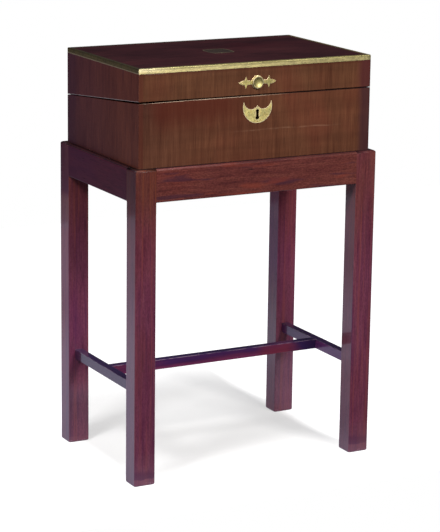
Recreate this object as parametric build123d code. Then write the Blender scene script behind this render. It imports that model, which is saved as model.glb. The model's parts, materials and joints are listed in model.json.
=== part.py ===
from build123d import *
import math
import os

# A brass-edged mahogany lap desk (writing box) on its open mahogany stand.
# Millimetres. Origin on the floor, midway between the legs. +X right, -Y front, +Z up.

# ---------------------------------------------------------------- driving dimensions
STAND_W, STAND_D = 520.0, 340.0      # outside of the legs
LEG_X, LEG_Y = 43.5, 38.5            # leg section, seen from the front and from the side
RAIL_TOP, RAIL_H, RAIL_T = 614.0, 64.0, 24.0
SEAT_Z = 604.0                       # rebate that the box stands in
LIP_ROUND = 5.5                      # rounded outer top edge of the stand
ARRIS = 1.0
STR_W, STR_TOP, STR_BOT = 16.0, 195.0, 175.0
BOX_W, BOX_D = 498.0, 318.0          # outside of the box
WALL, BOTTOM_T, TOP_T = 13.0, 8.0, 8.0
LID_TOP = 799.2                      # wood of the lid; the brass stands proud
SPLIT_F, SPLIT_B = 737.0, 707.5      # height of the slanted cut at the front and back faces
GAP = 0.5                            # each rim stands this far off the cut
BRASS_PROUD, BRASS_T, BRASS_SIDE, BRASS_FACE = 0.6, 1.5, 10.0, 8.0
AXIS_OUT = 1.2                       # hinge axis behind the back face
KN_R, PIN_R, RUN = 2.4, 1.1, 0.05    # knuckle, pin, running clearance
HINGE_X, HINGE_L, LEAF_T, LEAF_W = 150.0, 50.0, 1.3, 11.0
BOARD_T, SKIN_T = 6.0, 0.8           # writing board and its leather
BOARD_DROP = 0.5                     # leather below the rim
RAIL2_Y = 134.0                      # line on which the boards hinge
PART_Y0, PART_Y1 = -92.0, -86.0      # partition behind the pen tray
WELL_X0, WELL_X1 = 183.0, 189.0      # dividers beside the pen tray
BOSS_X, BOSS_Z, PLATE_T = -1.0, 761.5, 1.2
BOSS_OUT = 4.4                       # rim of the boss in front of the lid
LZ = 703.5                           # reference height of lock and escutcheon
LOOP_X, BOLT_TRAVEL = 14.0, 6.0

HX, HY = BOX_W / 2, BOX_D / 2
SX, SY = STAND_W / 2, STAND_D / 2
SLOPE = (SPLIT_F - SPLIT_B) / BOX_D
ANG = math.degrees(math.atan(SLOPE))
AX_Y = HY + AXIS_OUT


def cut_z(y):
    """Height of the slanted cut at depth y."""
    return SPLIT_F - SLOPE * (y + HY)


AX_Z = cut_z(AX_Y)


def blk(x0, x1, y0, y1, z0, z1):
    return Pos((x0 + x1) / 2, (y0 + y1) / 2, (z0 + z1) / 2) * Box(abs(x1 - x0), abs(y1 - y0), abs(z1 - z0))


def prism_yz(pts, x0, x1):
    face = make_face(Polyline(*[(x0, y, z) for y, z in pts], close=True))
    return extrude(face, amount=x1 - x0, dir=(1, 0, 0))


def prism_xy(pts, z0, z1):
    face = make_face(Polyline(*[(x, y, z0) for x, y in pts], close=True))
    return extrude(face, amount=z1 - z0, dir=(0, 0, 1))


def slab(y0, y1, low, high, x0, x1):
    """A board that lies along the cut: low and high are heights over the cut."""
    return prism_yz([(y0, cut_z(y0) + low), (y1, cut_z(y1) + low),
                     (y1, cut_z(y1) + high), (y0, cut_z(y0) + high)], x0, x1)


def cyl_x(r, x0, x1, y, z):
    return Pos((x0 + x1) / 2, y, z) * Rot(0, 90, 0) * Cylinder(r, x1 - x0)


def cyl_y(r, x, y0, y1, z):
    return Pos(x, (y0 + y1) / 2, z) * Rot(90, 0, 0) * Cylinder(r, y1 - y0)


def cyl_z(r, x, y, z0, z1):
    return Pos(x, y, (z0 + z1) / 2) * Cylinder(r, z1 - z0)


def one(shape):
    """The single solid of a boolean result."""
    s = shape.solids()
    return s[0] if len(s) == 1 else Compound(children=list(s))


def group(shapes):
    out = []
    for s in shapes:
        out.extend(s.solids())
    return Compound(children=out)


nodes = {}

# ---------------------------------------------------------------- stand
# One rounded envelope keeps the moulded top edge continuous round the corners.
env = blk(-SX, SX, -SY, SY, 0, RAIL_TOP)
env = fillet(env.faces().sort_by(Axis.Z)[-1].edges(), LIP_ROUND)
corner_cuts = []
for sx in (-1, 1):
    for sy in (-1, 1):
        corner_cuts.append(Pos(sx * SX, sy * SY, RAIL_TOP / 2) * Rot(0, 0, 45) * Box(ARRIS * 1.41, ARRIS * 1.41, RAIL_TOP + 20))
env = env - corner_cuts
CLR = 0.6
seat_cut = blk(-HX - CLR, HX + CLR, -HY - CLR, HY + CLR, SEAT_Z, RAIL_TOP + 10)
env = env - seat_cut

RB = RAIL_TOP - RAIL_H
TEN_T, TEN_L, TEN_Z0, TEN_Z1 = 8.0, 26.0, RB + 8, RAIL_TOP - 18
IX, IY = SX - LEG_X, SY - LEG_Y
ten_f = blk(-IX - TEN_L, IX + TEN_L, -SY + 8, -SY + 8 + TEN_T, TEN_Z0, TEN_Z1)
ten_b = blk(-IX - TEN_L, IX + TEN_L, SY - 8 - TEN_T, SY - 8, TEN_Z0, TEN_Z1)
ten_l = blk(-SX + 8, -SX + 8 + TEN_T, -IY - 20, IY + 20, TEN_Z0, TEN_Z1)
ten_r = blk(SX - 8 - TEN_T, SX - 8, -IY - 20, IY + 20, TEN_Z0, TEN_Z1)
# side tenons stop short of the front and back ones
ten_l = ten_l & blk(-SX, SX, -SY + 18, SY - 18, 0, 700)
ten_r = ten_r & blk(-SX, SX, -SY + 18, SY - 18, 0, 700)
ST_CX = SX - LEG_X / 2
st_ten = 16.0
str_ten = {s: blk(s * ST_CX - 4, s * ST_CX + 4, -IY - st_ten, IY + st_ten, STR_BOT + 3, STR_TOP - 3) for s in (-1, 1)}

nodes["rail_front"] = one((env & blk(-IX, IX, -SY, -SY + RAIL_T, RB, RAIL_TOP)) + ten_f)
nodes["rail_back"] = one((env & blk(-IX, IX, SY - RAIL_T, SY, RB, RAIL_TOP)) + ten_b)
nodes["rail_left"] = one((env & blk(-SX, -SX + RAIL_T, -IY, IY, RB, RAIL_TOP)) + ten_l)
nodes["rail_right"] = one((env & blk(SX - RAIL_T, SX, -IY, IY, RB, RAIL_TOP)) + ten_r)

for nm, sx, sy in (("leg_front_left", -1, -1), ("leg_front_right", 1, -1),
                   ("leg_back_left", -1, 1), ("leg_back_right", 1, 1)):
    x0, x1 = sorted((sx * SX, sx * IX))
    y0, y1 = sorted((sy * SY, sy * IY))
    leg = env & blk(x0, x1, y0, y1, 0, RAIL_TOP)
    # the three inner arrises are eased below the rails
    for ex, ey in ((sx * IX, sy * SY), (sx * SX, sy * IY), (sx * IX, sy * IY)):
        leg = leg - Pos(ex, ey, RB / 2) * Rot(0, 0, 45) * Box(ARRIS * 1.41, ARRIS * 1.41, RB)
    for t in (ten_f if sy < 0 else ten_b, ten_l if sx < 0 else ten_r, str_ten[sx]):
        leg = leg - t
    nodes[nm] = one(leg)

cross_ten = blk(-ST_CX - 2, ST_CX + 2, -4, 4, STR_BOT + 4, STR_TOP - 4)
for nm, s in (("stretcher_left", -1), ("stretcher_right", 1)):
    bar = blk(s * ST_CX - STR_W / 2, s * ST_CX + STR_W / 2, -IY, IY, STR_BOT, STR_TOP)
    nodes[nm] = one(bar + str_ten[s] - cross_ten)
cx = ST_CX - STR_W / 2
nodes["stretcher_cross"] = one(blk(-cx, cx, -STR_W / 2, STR_W / 2, STR_BOT, STR_TOP) + cross_ten)

# ---------------------------------------------------------------- box base
base_block = prism_yz([(-HY, SEAT_Z), (HY, SEAT_Z), (HY, SPLIT_B - GAP), (-HY, SPLIT_F - GAP)], -HX, HX)
WX, WY = HX - WALL, HY - WALL


def wall_plan(side, z0, z1):
    p = {"front": [(-HX, -HY), (HX, -HY), (WX, -WY), (-WX, -WY)],
         "back": [(HX, HY), (-HX, HY), (-WX, WY), (WX, WY)],
         "left": [(-HX, HY), (-HX, -HY), (-WX, -WY), (-WX, WY)],
         "right": [(HX, -HY), (HX, HY), (WX, WY), (WX, -WY)]}[side]
    return prism_xy(p, z0, z1)


base = {s: base_block & wall_plan(s, SEAT_Z - 1, 760) for s in ("front", "back", "left", "right")}
FLOOR_Z = SEAT_Z + BOTTOM_T
nodes["base_bottom"] = one(blk(-WX, WX, -WY, WY, SEAT_Z, FLOOR_Z))

# keyhole: two bulbs joined by a waist
KH_T, KH_B = LZ + 3.0, LZ - 9.4


def keyhole(y0, y1, grow=0.0):
    return (cyl_y(3.7 + grow, 0, y0, y1, KH_T) + cyl_y(4.1 + grow, 0, y0, y1, KH_B)
            + blk(-2.7 - grow, 2.7 + grow, y0, y1, KH_B, KH_T))


# crescent escutcheon, half let in
esc_wire = [ThreePointArc((29.3, 0, LZ + 22.0), (0, 0, LZ - 20.0), (-29.3, 0, LZ + 22.0)),
            ThreePointArc((-29.3, 0, LZ + 22.0), (-24.2, 0, LZ + 11.6), (-13.5, 0, LZ + 7.0)),
            ThreePointArc((-13.5, 0, LZ + 7.0), (-5.6, 0, LZ + 8.6), (0, 0, LZ + 14.0)),
            ThreePointArc((0, 0, LZ + 14.0), (5.6, 0, LZ + 8.6), (13.5, 0, LZ + 7.0)),
            ThreePointArc((13.5, 0, LZ + 7.0), (24.2, 0, LZ + 11.6), (29.3, 0, LZ + 22.0))]
esc_face = make_face(Curve() + esc_wire)
esc = extrude(Pos(0, -HY - 0.6, 0) * esc_face, amount=PLATE_T, dir=(0, 1, 0))
base["front"] = base["front"] - esc
esc = esc - keyhole(-HY - 2, -HY + 2)
esc_pin_at = [(-20.5, LZ + 1.5), (20.5, LZ + 1.5), (0, LZ - 16.4)]
pins = [cyl_y(0.7, x, -HY - 0.6, -HY + 3.4, z) for x, z in esc_pin_at]
for p in pins:
    esc = esc - p
    base["front"] = base["front"] - p
nodes["escutcheon"] = one(esc)
nodes["escutcheon_pins"] = group(pins)

# box lock let into the front wall from inside
LC_X, LC_Z0 = 36.0, LZ - 18.0
LC_Y0, LC_Y1 = -HY + 3.6, -WY
LC_Z1 = cut_z(LC_Y1) - GAP - 0.1
lock_block = prism_yz([(LC_Y0, LC_Z0), (LC_Y1, LC_Z0), (LC_Y1, cut_z(LC_Y1) - GAP), (LC_Y0, cut_z(LC_Y0) - GAP)], -LC_X, LC_X)
lock_cav = prism_yz([(LC_Y0 + 1.2, LC_Z0 + 1.2), (LC_Y1 - 1.0, LC_Z0 + 1.2), (LC_Y1 - 1.0, cut_z(LC_Y1) - GAP - 2.0),
                     (LC_Y0 + 1.2, cut_z(LC_Y0 + 1.2) - GAP - 2.0)], -LC_X + 1.4, LC_X - 1.4)
base["front"] = base["front"] - lock_block - keyhole(-HY - 1, LC_Y0 + 1)
lock = lock_block - lock_cav - keyhole(LC_Y0 - 1, LC_Y0 + 2)
LP_Y0, LP_Y1 = LC_Y0 + 1.9, LC_Y0 + 7.5      # loops of the link plate
for s in (-1, 1):
    lock = lock - blk(s * LOOP_X - 1.8, s * LOOP_X + 1.8, LP_Y0 - 0.4, LC_Y1 - 1.0, LZ + 22, LZ + 40)
# guide pads keep the bolt level
BOLT_Y0, BOLT_Y1 = LP_Y0 + 1.6, LP_Y0 + 4.0
BOLT_Z0, BOLT_Z1 = LZ + 8.6, LZ + 14.0
for s in (-1, 1):
    lock = lock + blk(s * 29 - 2, s * 29 + 2, LC_Y0 + 1.2, LC_Y1 - 1.0, BOLT_Z0 - 5, BOLT_Z0 - 0.05)
# screws through the selvedge into the wall end grain
ls = []
for s in (-1, 1):
    sx = s * 31.0
    yy = (LC_Y0 + LC_Y1) / 2
    zt = cut_z(yy) - GAP - 0.15
    ls.append(cyl_z(1.2, sx, yy, zt - 14.0, zt))
for p in ls:
    lock = lock - p
nodes["lock_case"] = one(lock)
nodes["lock_screws"] = group(ls)
bolt = blk(-26, 22, BOLT_Y0, BOLT_Y1, BOLT_Z0, BOLT_Z1)
for s in (-1, 1):
    tip = s * LOOP_X - 1.2 - 0.5
    bolt = bolt + blk(tip - 10, tip - 6, BOLT_Y0, BOLT_Y1, BOLT_Z1 - 1, LZ + 26.5) + blk(tip - 7, tip, BOLT_Y0, BOLT_Y1, LZ + 22.4, LZ + 26.5)
nodes["lock_bolt"] = one(bolt)

# butt hinges along the back, let into both rims
seg = HINGE_L / 5.0
base_leaves, lid_leaves, hinge_pins, base_hs, lid_hs = [], [], [], [], []
kn_cut = []
for hx in (-HINGE_X, HINGE_X):
    x0 = hx - HINGE_L / 2
    lo = slab(AX_Y - 1.0 - LEAF_W, AX_Y - 0.2, -GAP - LEAF_T, -GAP, x0, x0 + HINGE_L)
    hi = slab(AX_Y - 1.0 - LEAF_W, AX_Y - 0.2, GAP, GAP + LEAF_T, x0, x0 + HINGE_L)
    clear = cyl_x(KN_R + 0.25, x0 - 0.2, x0 + HINGE_L + 0.2, AX_Y, AX_Z)
    lo_cut = slab(AX_Y - 1.0 - LEAF_W, AX_Y + 4, -GAP - LEAF_T, 2, x0, x0 + HINGE_L)
    hi_cut = slab(AX_Y - 1.0 - LEAF_W, AX_Y + 4, -2, GAP + LEAF_T, x0, x0 + HINGE_L)
    base["back"] = base["back"] - lo_cut - clear
    kn_cut.append((hi_cut, clear))
    for i in range(5):
        a, b = x0 + i * seg + (0.1 if i else 0), x0 + (i + 1) * seg - (0.1 if i < 4 else 0)
        kn = cyl_x(KN_R, a, b, AX_Y, AX_Z)
        gap_cut = cyl_x(KN_R + 0.2, x0 + i * seg - 0.1, x0 + (i + 1) * seg + 0.1, AX_Y, AX_Z)
        if i % 2 == 0:
            hi = hi - gap_cut
        else:
            lo = lo - gap_cut
    for i in range(5):
        a, b = x0 + i * seg + (0.1 if i else 0), x0 + (i + 1) * seg - (0.1 if i < 4 else 0)
        kn = cyl_x(KN_R, a, b, AX_Y, AX_Z)
        if i % 2 == 0:
            lo = lo + kn
        else:
            hi = hi + kn
    lo = lo - cyl_x(PIN_R, x0 - 1, x0 + HINGE_L + 1, AX_Y, AX_Z)
    hi = hi - cyl_x(PIN_R + RUN, x0 - 1, x0 + HINGE_L + 1, AX_Y, AX_Z)
    hinge_pins.append(cyl_x(PIN_R, x0, x0 + HINGE_L, AX_Y, AX_Z))
    for dx in (-17.0, 17.0):
        yy = HY - 6.2
        zb = cut_z(yy)
        sb = cyl_z(1.5, hx + dx, yy, zb - GAP - 13.0, zb - GAP - 0.25)
        sl = cyl_z(1.5, hx + dx, yy, zb + GAP + 0.25, zb + GAP + 13.0)
        lo, hi = lo - sb, hi - sl
        base["back"] = base["back"] - sb
        base_hs.append(sb)
        lid_hs.append(sl)
    base_leaves.append(lo)
    lid_leaves.append(hi)
nodes["base_hinge_leaves"] = group(base_leaves)
nodes["hinge_pins"] = group(hinge_pins)
nodes["base_hinge_screws"] = group(base_hs)

for s in base:
    nodes["base_" + s] = one(base[s])

# inside the base
nodes["tray_dividers"] = group([prism_yz([(-WY, FLOOR_Z), (PART_Y0, FLOOR_Z), (PART_Y0, cut_z(PART_Y0) - 2.0), (-WY, cut_z(-WY) - 2.0)], x0, x0 + 6)
                                for x0 in (-WELL_X1, WELL_X0)])
WELL_FLOOR = 671.0
nodes["well_floors"] = group([blk(-WX, -WELL_X1, -WY, PART_Y0, WELL_FLOOR - 5, WELL_FLOOR),
                              blk(WELL_X1, WX, -WY, PART_Y0, WELL_FLOOR - 5, WELL_FLOOR)])
# pen tray with a scooped trough on two rests
TR_TOP, TR_BOT = 723.0, 701.0
tray = blk(-WELL_X0, WELL_X0, -WY, PART_Y0, TR_BOT, TR_TOP)
scoop = Pos(0, (-WY + PART_Y0) / 2, TR_TOP + 6.0) * Rot(0, 90, 0) * Cylinder(22.0, 2 * WELL_X0 - 34)
nodes["pen_tray"] = one(tray - scoop)
nodes["tray_rests"] = group([blk(-WELL_X0, -WELL_X0 + 8, -WY, PART_Y0, TR_BOT - 10, TR_BOT),
                             blk(WELL_X0 - 8, WELL_X0, -WY, PART_Y0, TR_BOT - 10, TR_BOT)])
# square glass ink bottles with brass caps
BT = 40.0
wy = (-WY + PART_Y0) / 2
wx = (WELL_X1 + WX) / 2
caps = []
for nm, s in (("left", -1), ("right", 1)):
    c = s * wx
    body = Pos(c, wy, WELL_FLOOR + 17) * Box(BT, BT, 34)
    body = fillet(body.edges().filter_by(Axis.Z), 3.0)
    body = body + cyl_z(11.0, c, wy, WELL_FLOOR + 33, WELL_FLOOR + 43)
    body = body - cyl_z(15.0, c, wy, WELL_FLOOR + 5, WELL_FLOOR + 30) - cyl_z(8.0, c, wy, WELL_FLOOR + 29, WELL_FLOOR + 44)
    nodes["ink_bottle_" + nm] = one(body)
    cap = cyl_z(13.0, c, wy, WELL_FLOOR + 36, WELL_FLOOR + 46) - cyl_z(11.0, c, wy, WELL_FLOOR + 35, WELL_FLOOR + 43)
    caps.append(cap)
nodes["ink_caps"] = group(caps)

# writing board in the base, its rests and the rail that it hinges on
LO_T = -GAP - BOARD_DROP                     # top of the leather over the cut
LO_B = LO_T - SKIN_T - BOARD_T
nodes["base_hinge_rail"] = one(slab(RAIL2_Y + 0.15, WY, LO_B, LO_T - SKIN_T, -WX, WX))
nodes["base_hinge_cloth"] = one(slab(RAIL2_Y + 0.15, WY - 0.3, LO_T - SKIN_T, LO_T, -WX + 0.3, WX - 0.3))
SIDE = 0.8
nodes["base_board"] = one(slab(PART_Y1 - 3.0, RAIL2_Y - 0.15, LO_B + 0.0, LO_T - SKIN_T, -WX + SIDE, WX - SIDE))
nodes["base_leather"] = one(slab(PART_Y1 - 3.0, RAIL2_Y - 0.15, LO_T - SKIN_T, LO_T, -WX + SIDE, WX - SIDE))
nodes["partition"] = one(prism_yz([(PART_Y0, FLOOR_Z), (PART_Y1, FLOOR_Z), (PART_Y1, cut_z(PART_Y1) + LO_B - 0.05),
                                   (PART_Y1 - 3.2, cut_z(PART_Y1 - 3.2) + LO_B - 0.05), (PART_Y1 - 3.2, cut_z(PART_Y1 - 3.2) - 2.0),
                                   (PART_Y0, cut_z(PART_Y0) - 2.0)], -WX, WX))
nodes["base_board_rests"] = group([slab(PART_Y1, RAIL2_Y, LO_B - 9.0, LO_B - 0.05, -WX, -WX + 6),
                                   slab(PART_Y1, RAIL2_Y, LO_B - 9.0, LO_B - 0.05, WX - 6, WX)])

# ---------------------------------------------------------------- lid
lid_block = prism_yz([(-HY, SPLIT_F + GAP), (HY, SPLIT_B + GAP), (HY, LID_TOP - TOP_T), (-HY, LID_TOP - TOP_T)], -HX, HX)
lid = {s: lid_block & wall_plan(s, 690, 800) for s in ("front", "back", "left", "right")}
top = blk(-HX, HX, -HY, HY, LID_TOP - TOP_T, LID_TOP)
# brass angle round the top edges, mitred at the corners
P = BRASS_PROUD
ring = blk(-HX - P, HX + P, -HY - P, HY + P, LID_TOP + P - BRASS_SIDE, LID_TOP + P)
ring = fillet(ring.faces().sort_by(Axis.Z)[-1].edges(), 1.9)
ring = ring - blk(-HX - P + BRASS_T, HX + P - BRASS_T, -HY - P + BRASS_T, HY + P - BRASS_T, 700, LID_TOP + P - BRASS_T)
ring = ring - blk(-HX - P + BRASS_FACE, HX + P - BRASS_FACE, -HY - P + BRASS_FACE, HY + P - BRASS_FACE, 700, 810)
A, B_ = HX + 5, HY + 5
plans = {"front": [(-A, -B_), (A, -B_), (A - 60, -B_ + 60), (-A + 60, -B_ + 60)],
         "back": [(A, B_), (-A, B_), (-A + 60, B_ - 60), (A - 60, B_ - 60)],
         "left": [(-A, B_), (-A, -B_), (-A + 60, -B_ + 60), (-A + 60, B_ - 60)],
         "right": [(A, -B_), (A, B_), (A - 60, B_ - 60), (A - 60, -B_ + 60)]}
edge = {s: ring & prism_xy(plans[s], 780, 805) for s in plans}
for s in edge:
    lid[s] = lid[s] - ring
top = top - ring
for s in edge:
    nodes["edge_" + s] = one(edge[s])

# vacant shield plate in the middle of the top
q, bow = 23.0, 3.6
sh = [ThreePointArc((q, -q, 0), (q + bow, 0, 0), (q, q, 0)), ThreePointArc((q, q, 0), (0, q + bow, 0), (-q, q, 0)),
      ThreePointArc((-q, q, 0), (-q - bow, 0, 0), (-q, -q, 0)), ThreePointArc((-q, -q, 0), (0, -q - bow, 0), (q, -q, 0))]
shield = extrude(Pos(2.0, 4.0, LID_TOP - 1.2) * make_face(Curve() + sh), amount=1.3, dir=(0, 0, 1))
top = top - shield
nodes["shield_plate"] = one(shield)
nodes["lid_top"] = one(top)

# finger plate with a dished boss, screwed through the front
half = [(15.8, -3.7), (21.4, -4.3), (24.9, -11.6), (27.6, -4.3), (31.5, -4.3), (35.5, -2.9), (40.0, 0),
        (35.5, 2.9), (31.5, 4.3), (27.6, 4.3), (24.9, 11.6), (21.4, 4.3), (15.8, 3.7)]
plate = cyl_y(12.8, BOSS_X, -HY - 0.7, -HY + 0.5, BOSS_Z)
for s in (-1, 1):
    pts = [(BOSS_X + s * x, -HY - 0.7, BOSS_Z + z) for x, z in [(9.0, -4.2)] + half + [(9.0, 4.2)]]
    plate = plate + extrude(make_face(Polyline(*pts, close=True)), amount=PLATE_T, dir=(0, 1, 0))
lid["front"] = lid["front"] - plate
shank = cyl_y(2.5, BOSS_X, -HY - 0.7, -WY + 5.0, BOSS_Z)
plate = plate - shank
lid["front"] = lid["front"] - shank
ring_b = cyl_y(11.9, BOSS_X, -HY - BOSS_OUT, -HY - 0.7, BOSS_Z)
ring_b = fillet(ring_b.edges().sort_by(Axis.Y)[0], 0.9)
dish = Pos(BOSS_X, -HY - BOSS_OUT - 15.2, BOSS_Z) * Sphere(18.2)
boss = ring_b - dish + shank
nodes["finger_boss"] = one(boss)
nodes["boss_nut"] = one(cyl_y(6.0, BOSS_X, -WY, -WY + 3.5, BOSS_Z) - shank)
pp = [cyl_y(0.7, BOSS_X + s * 33.0, -HY - 0.7, -HY + 6.0, BOSS_Z) for s in (-1, 1)]
for p in pp:
    plate = plate - p
    lid["front"] = lid["front"] - p
nodes["finger_plate"] = one(plate)
nodes["finger_plate_pins"] = group(pp)

# link plate under the lid rim, with two loops that drop into the lock
link_p = slab(LC_Y0 + 0.6, LC_Y1, GAP, GAP + 1.6, -30, 30)
lid["front"] = lid["front"] - link_p
link = link_p
for s in (-1, 1):
    x0 = s * LOOP_X - 1.2
    loop = blk(x0, x0 + 2.4, LP_Y0, LP_Y1, LZ + 19.6, cut_z(LP_Y0) + GAP + 0.5)
    loop = loop - blk(x0 - 1, x0 + 4, LP_Y0 + 1.25, LP_Y1 - 1.25, LZ + 21.6, LZ + 27.4)
    link = link + loop
lks = []
for s in (-1, 1):
    yy = (LC_Y0 + LC_Y1) / 2
    z0 = cut_z(yy) + GAP + 0.2
    lks.append(cyl_z(1.2, s * 23.0, yy, z0, z0 + 13.0))
for p in lks:
    link = link - p
    lid["front"] = lid["front"] - p
nodes["link_plate"] = one(link)
nodes["link_screws"] = group(lks)

for hi_cut, clear in kn_cut:
    lid["back"] = lid["back"] - hi_cut - clear
for p in lid_hs:
    lid["back"] = lid["back"] - p
nodes["lid_hinge_leaves"] = group(lid_leaves)
nodes["lid_hinge_screws"] = group(lid_hs)
for s in lid:
    nodes["lid_" + s] = one(lid[s])

# writing board in the lid
HI_B = GAP + BOARD_DROP
HI_T = HI_B + SKIN_T + BOARD_T
nodes["lid_hinge_rail"] = one(slab(RAIL2_Y + 0.15, WY, HI_B + SKIN_T, HI_T, -WX, WX))
nodes["lid_hinge_cloth"] = one(slab(RAIL2_Y + 0.15, WY - 0.3, HI_B, HI_B + SKIN_T, -WX + 0.3, WX - 0.3))
LF_Y = -WY + 1.5
nodes["lid_board"] = one(slab(LF_Y, RAIL2_Y - 0.15, HI_B + SKIN_T, HI_T, -WX + SIDE, WX - SIDE))
nodes["lid_leather"] = one(slab(LF_Y, RAIL2_Y - 0.15, HI_B, HI_B + SKIN_T, -WX + SIDE, WX - SIDE))
nodes["lid_board_rests"] = group([slab(-WY, RAIL2_Y, HI_T + 0.05, HI_T + 9.0, -WX, -WX + 6),
                                  slab(-WY, RAIL2_Y, HI_T + 0.05, HI_T + 9.0, WX - 6, WX)])

os.makedirs("parts", exist_ok=True)
for name, shape in nodes.items():
    shape.label = name
    export_step(shape, "parts/" + name + ".step")
print(len(nodes), "nodes; hinge axis y", round(AX_Y, 3), "z", round(AX_Z, 3), "cut angle", round(ANG, 3))
print("board axis base z", round(cut_z(RAIL2_Y) + LO_T, 3), "lid z", round(cut_z(RAIL2_Y) + HI_B, 3))
print("lid opened flat: lowest brass", round(2 * AX_Z - LID_TOP - BRASS_PROUD, 3))
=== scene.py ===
import bpy, bmesh, json, math
from mathutils import Vector, Matrix, noise

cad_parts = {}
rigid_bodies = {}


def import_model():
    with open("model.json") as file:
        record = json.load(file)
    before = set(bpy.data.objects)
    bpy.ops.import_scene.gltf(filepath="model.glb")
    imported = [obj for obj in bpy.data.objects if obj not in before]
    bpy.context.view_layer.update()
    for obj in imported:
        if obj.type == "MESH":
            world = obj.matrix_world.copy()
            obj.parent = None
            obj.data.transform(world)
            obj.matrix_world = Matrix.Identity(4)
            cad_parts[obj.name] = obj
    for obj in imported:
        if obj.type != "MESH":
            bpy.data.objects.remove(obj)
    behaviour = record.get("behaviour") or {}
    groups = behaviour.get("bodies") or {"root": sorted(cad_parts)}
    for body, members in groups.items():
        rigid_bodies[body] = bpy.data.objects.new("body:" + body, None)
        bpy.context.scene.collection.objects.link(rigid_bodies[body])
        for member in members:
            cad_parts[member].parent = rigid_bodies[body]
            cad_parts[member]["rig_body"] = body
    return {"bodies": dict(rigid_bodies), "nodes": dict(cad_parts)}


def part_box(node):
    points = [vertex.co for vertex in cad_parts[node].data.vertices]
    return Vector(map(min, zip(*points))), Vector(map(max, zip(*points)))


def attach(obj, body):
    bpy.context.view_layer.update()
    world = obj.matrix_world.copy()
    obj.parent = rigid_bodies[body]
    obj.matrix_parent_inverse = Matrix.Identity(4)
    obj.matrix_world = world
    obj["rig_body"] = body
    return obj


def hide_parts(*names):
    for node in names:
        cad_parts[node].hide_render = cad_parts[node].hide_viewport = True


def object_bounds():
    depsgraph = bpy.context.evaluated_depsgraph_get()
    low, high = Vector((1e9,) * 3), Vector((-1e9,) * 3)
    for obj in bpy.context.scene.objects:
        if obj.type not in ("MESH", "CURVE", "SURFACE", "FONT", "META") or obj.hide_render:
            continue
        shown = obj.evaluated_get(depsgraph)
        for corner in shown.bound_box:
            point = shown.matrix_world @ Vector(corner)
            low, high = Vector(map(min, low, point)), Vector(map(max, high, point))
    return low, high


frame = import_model()
NODES, BODIES = frame["nodes"], frame["bodies"]
CAD_BOX = [list(v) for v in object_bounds()]

# ------------------------------------------------------------------ sizes, metres, read from the frame
MM = 0.001
LO_S, HI_S = Vector(CAD_BOX[0]), Vector(CAD_BOX[1])
SX, SY = HI_S.x, HI_S.y
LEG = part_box("leg_front_left")[1].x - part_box("leg_front_left")[0].x
RAIL_LO, RAIL_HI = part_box("rail_front")
RAIL_TOP, RAIL_BOT = RAIL_HI.z, RAIL_LO.z
RAIL_T = RAIL_HI.y - RAIL_LO.y
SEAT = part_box("base_bottom")[0].z
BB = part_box("base_front")
HX, HY = BB[1].x, -BB[0].y
WALL = BB[1].y - BB[0].y
SPLIT_F_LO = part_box("base_left")[1].z
SPLIT_B_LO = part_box("base_back")[1].z
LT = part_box("lid_top")
LID_TOP = LT[1].z
TOP_T = LT[1].z - LT[0].z
EDGE_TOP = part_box("edge_front")[1].z
EDGE_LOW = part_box("edge_front")[0].z
GAP = 0.5 * MM
SLOPE = (737.0 - 707.5) / 318.0
SPLIT_F = 737.0 * MM
SPLIT_B = 707.5 * MM


def cut_z(y):
    return SPLIT_F - SLOPE * (y + HY)


# ------------------------------------------------------------------ camera
def look():
    az, el, roll = -0.492931, 0.2366144, 0.0137044
    back = Vector((math.sin(az) * math.cos(el), -math.cos(az) * math.cos(el), math.sin(el)))
    x = Vector((0, 0, 1)).cross(back).normalized()
    y = back.cross(x)
    xr = math.cos(roll) * x + math.sin(roll) * y
    yr = -math.sin(roll) * x + math.cos(roll) * y
    m = Matrix((xr, yr, back)).transposed().to_4x4()
    m.translation = Vector((-1.97146, -3.68864, 1.37925))
    cam = bpy.data.cameras.new("camera")
    cam.lens = 146.594
    cam.sensor_width = 36.0
    cam.clip_start, cam.clip_end = 0.1, 60.0
    ob = bpy.data.objects.new("camera", cam)
    bpy.context.scene.collection.objects.link(ob)
    ob.matrix_world = m
    bpy.context.scene.camera = ob
    return ob


CAM = look()


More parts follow.
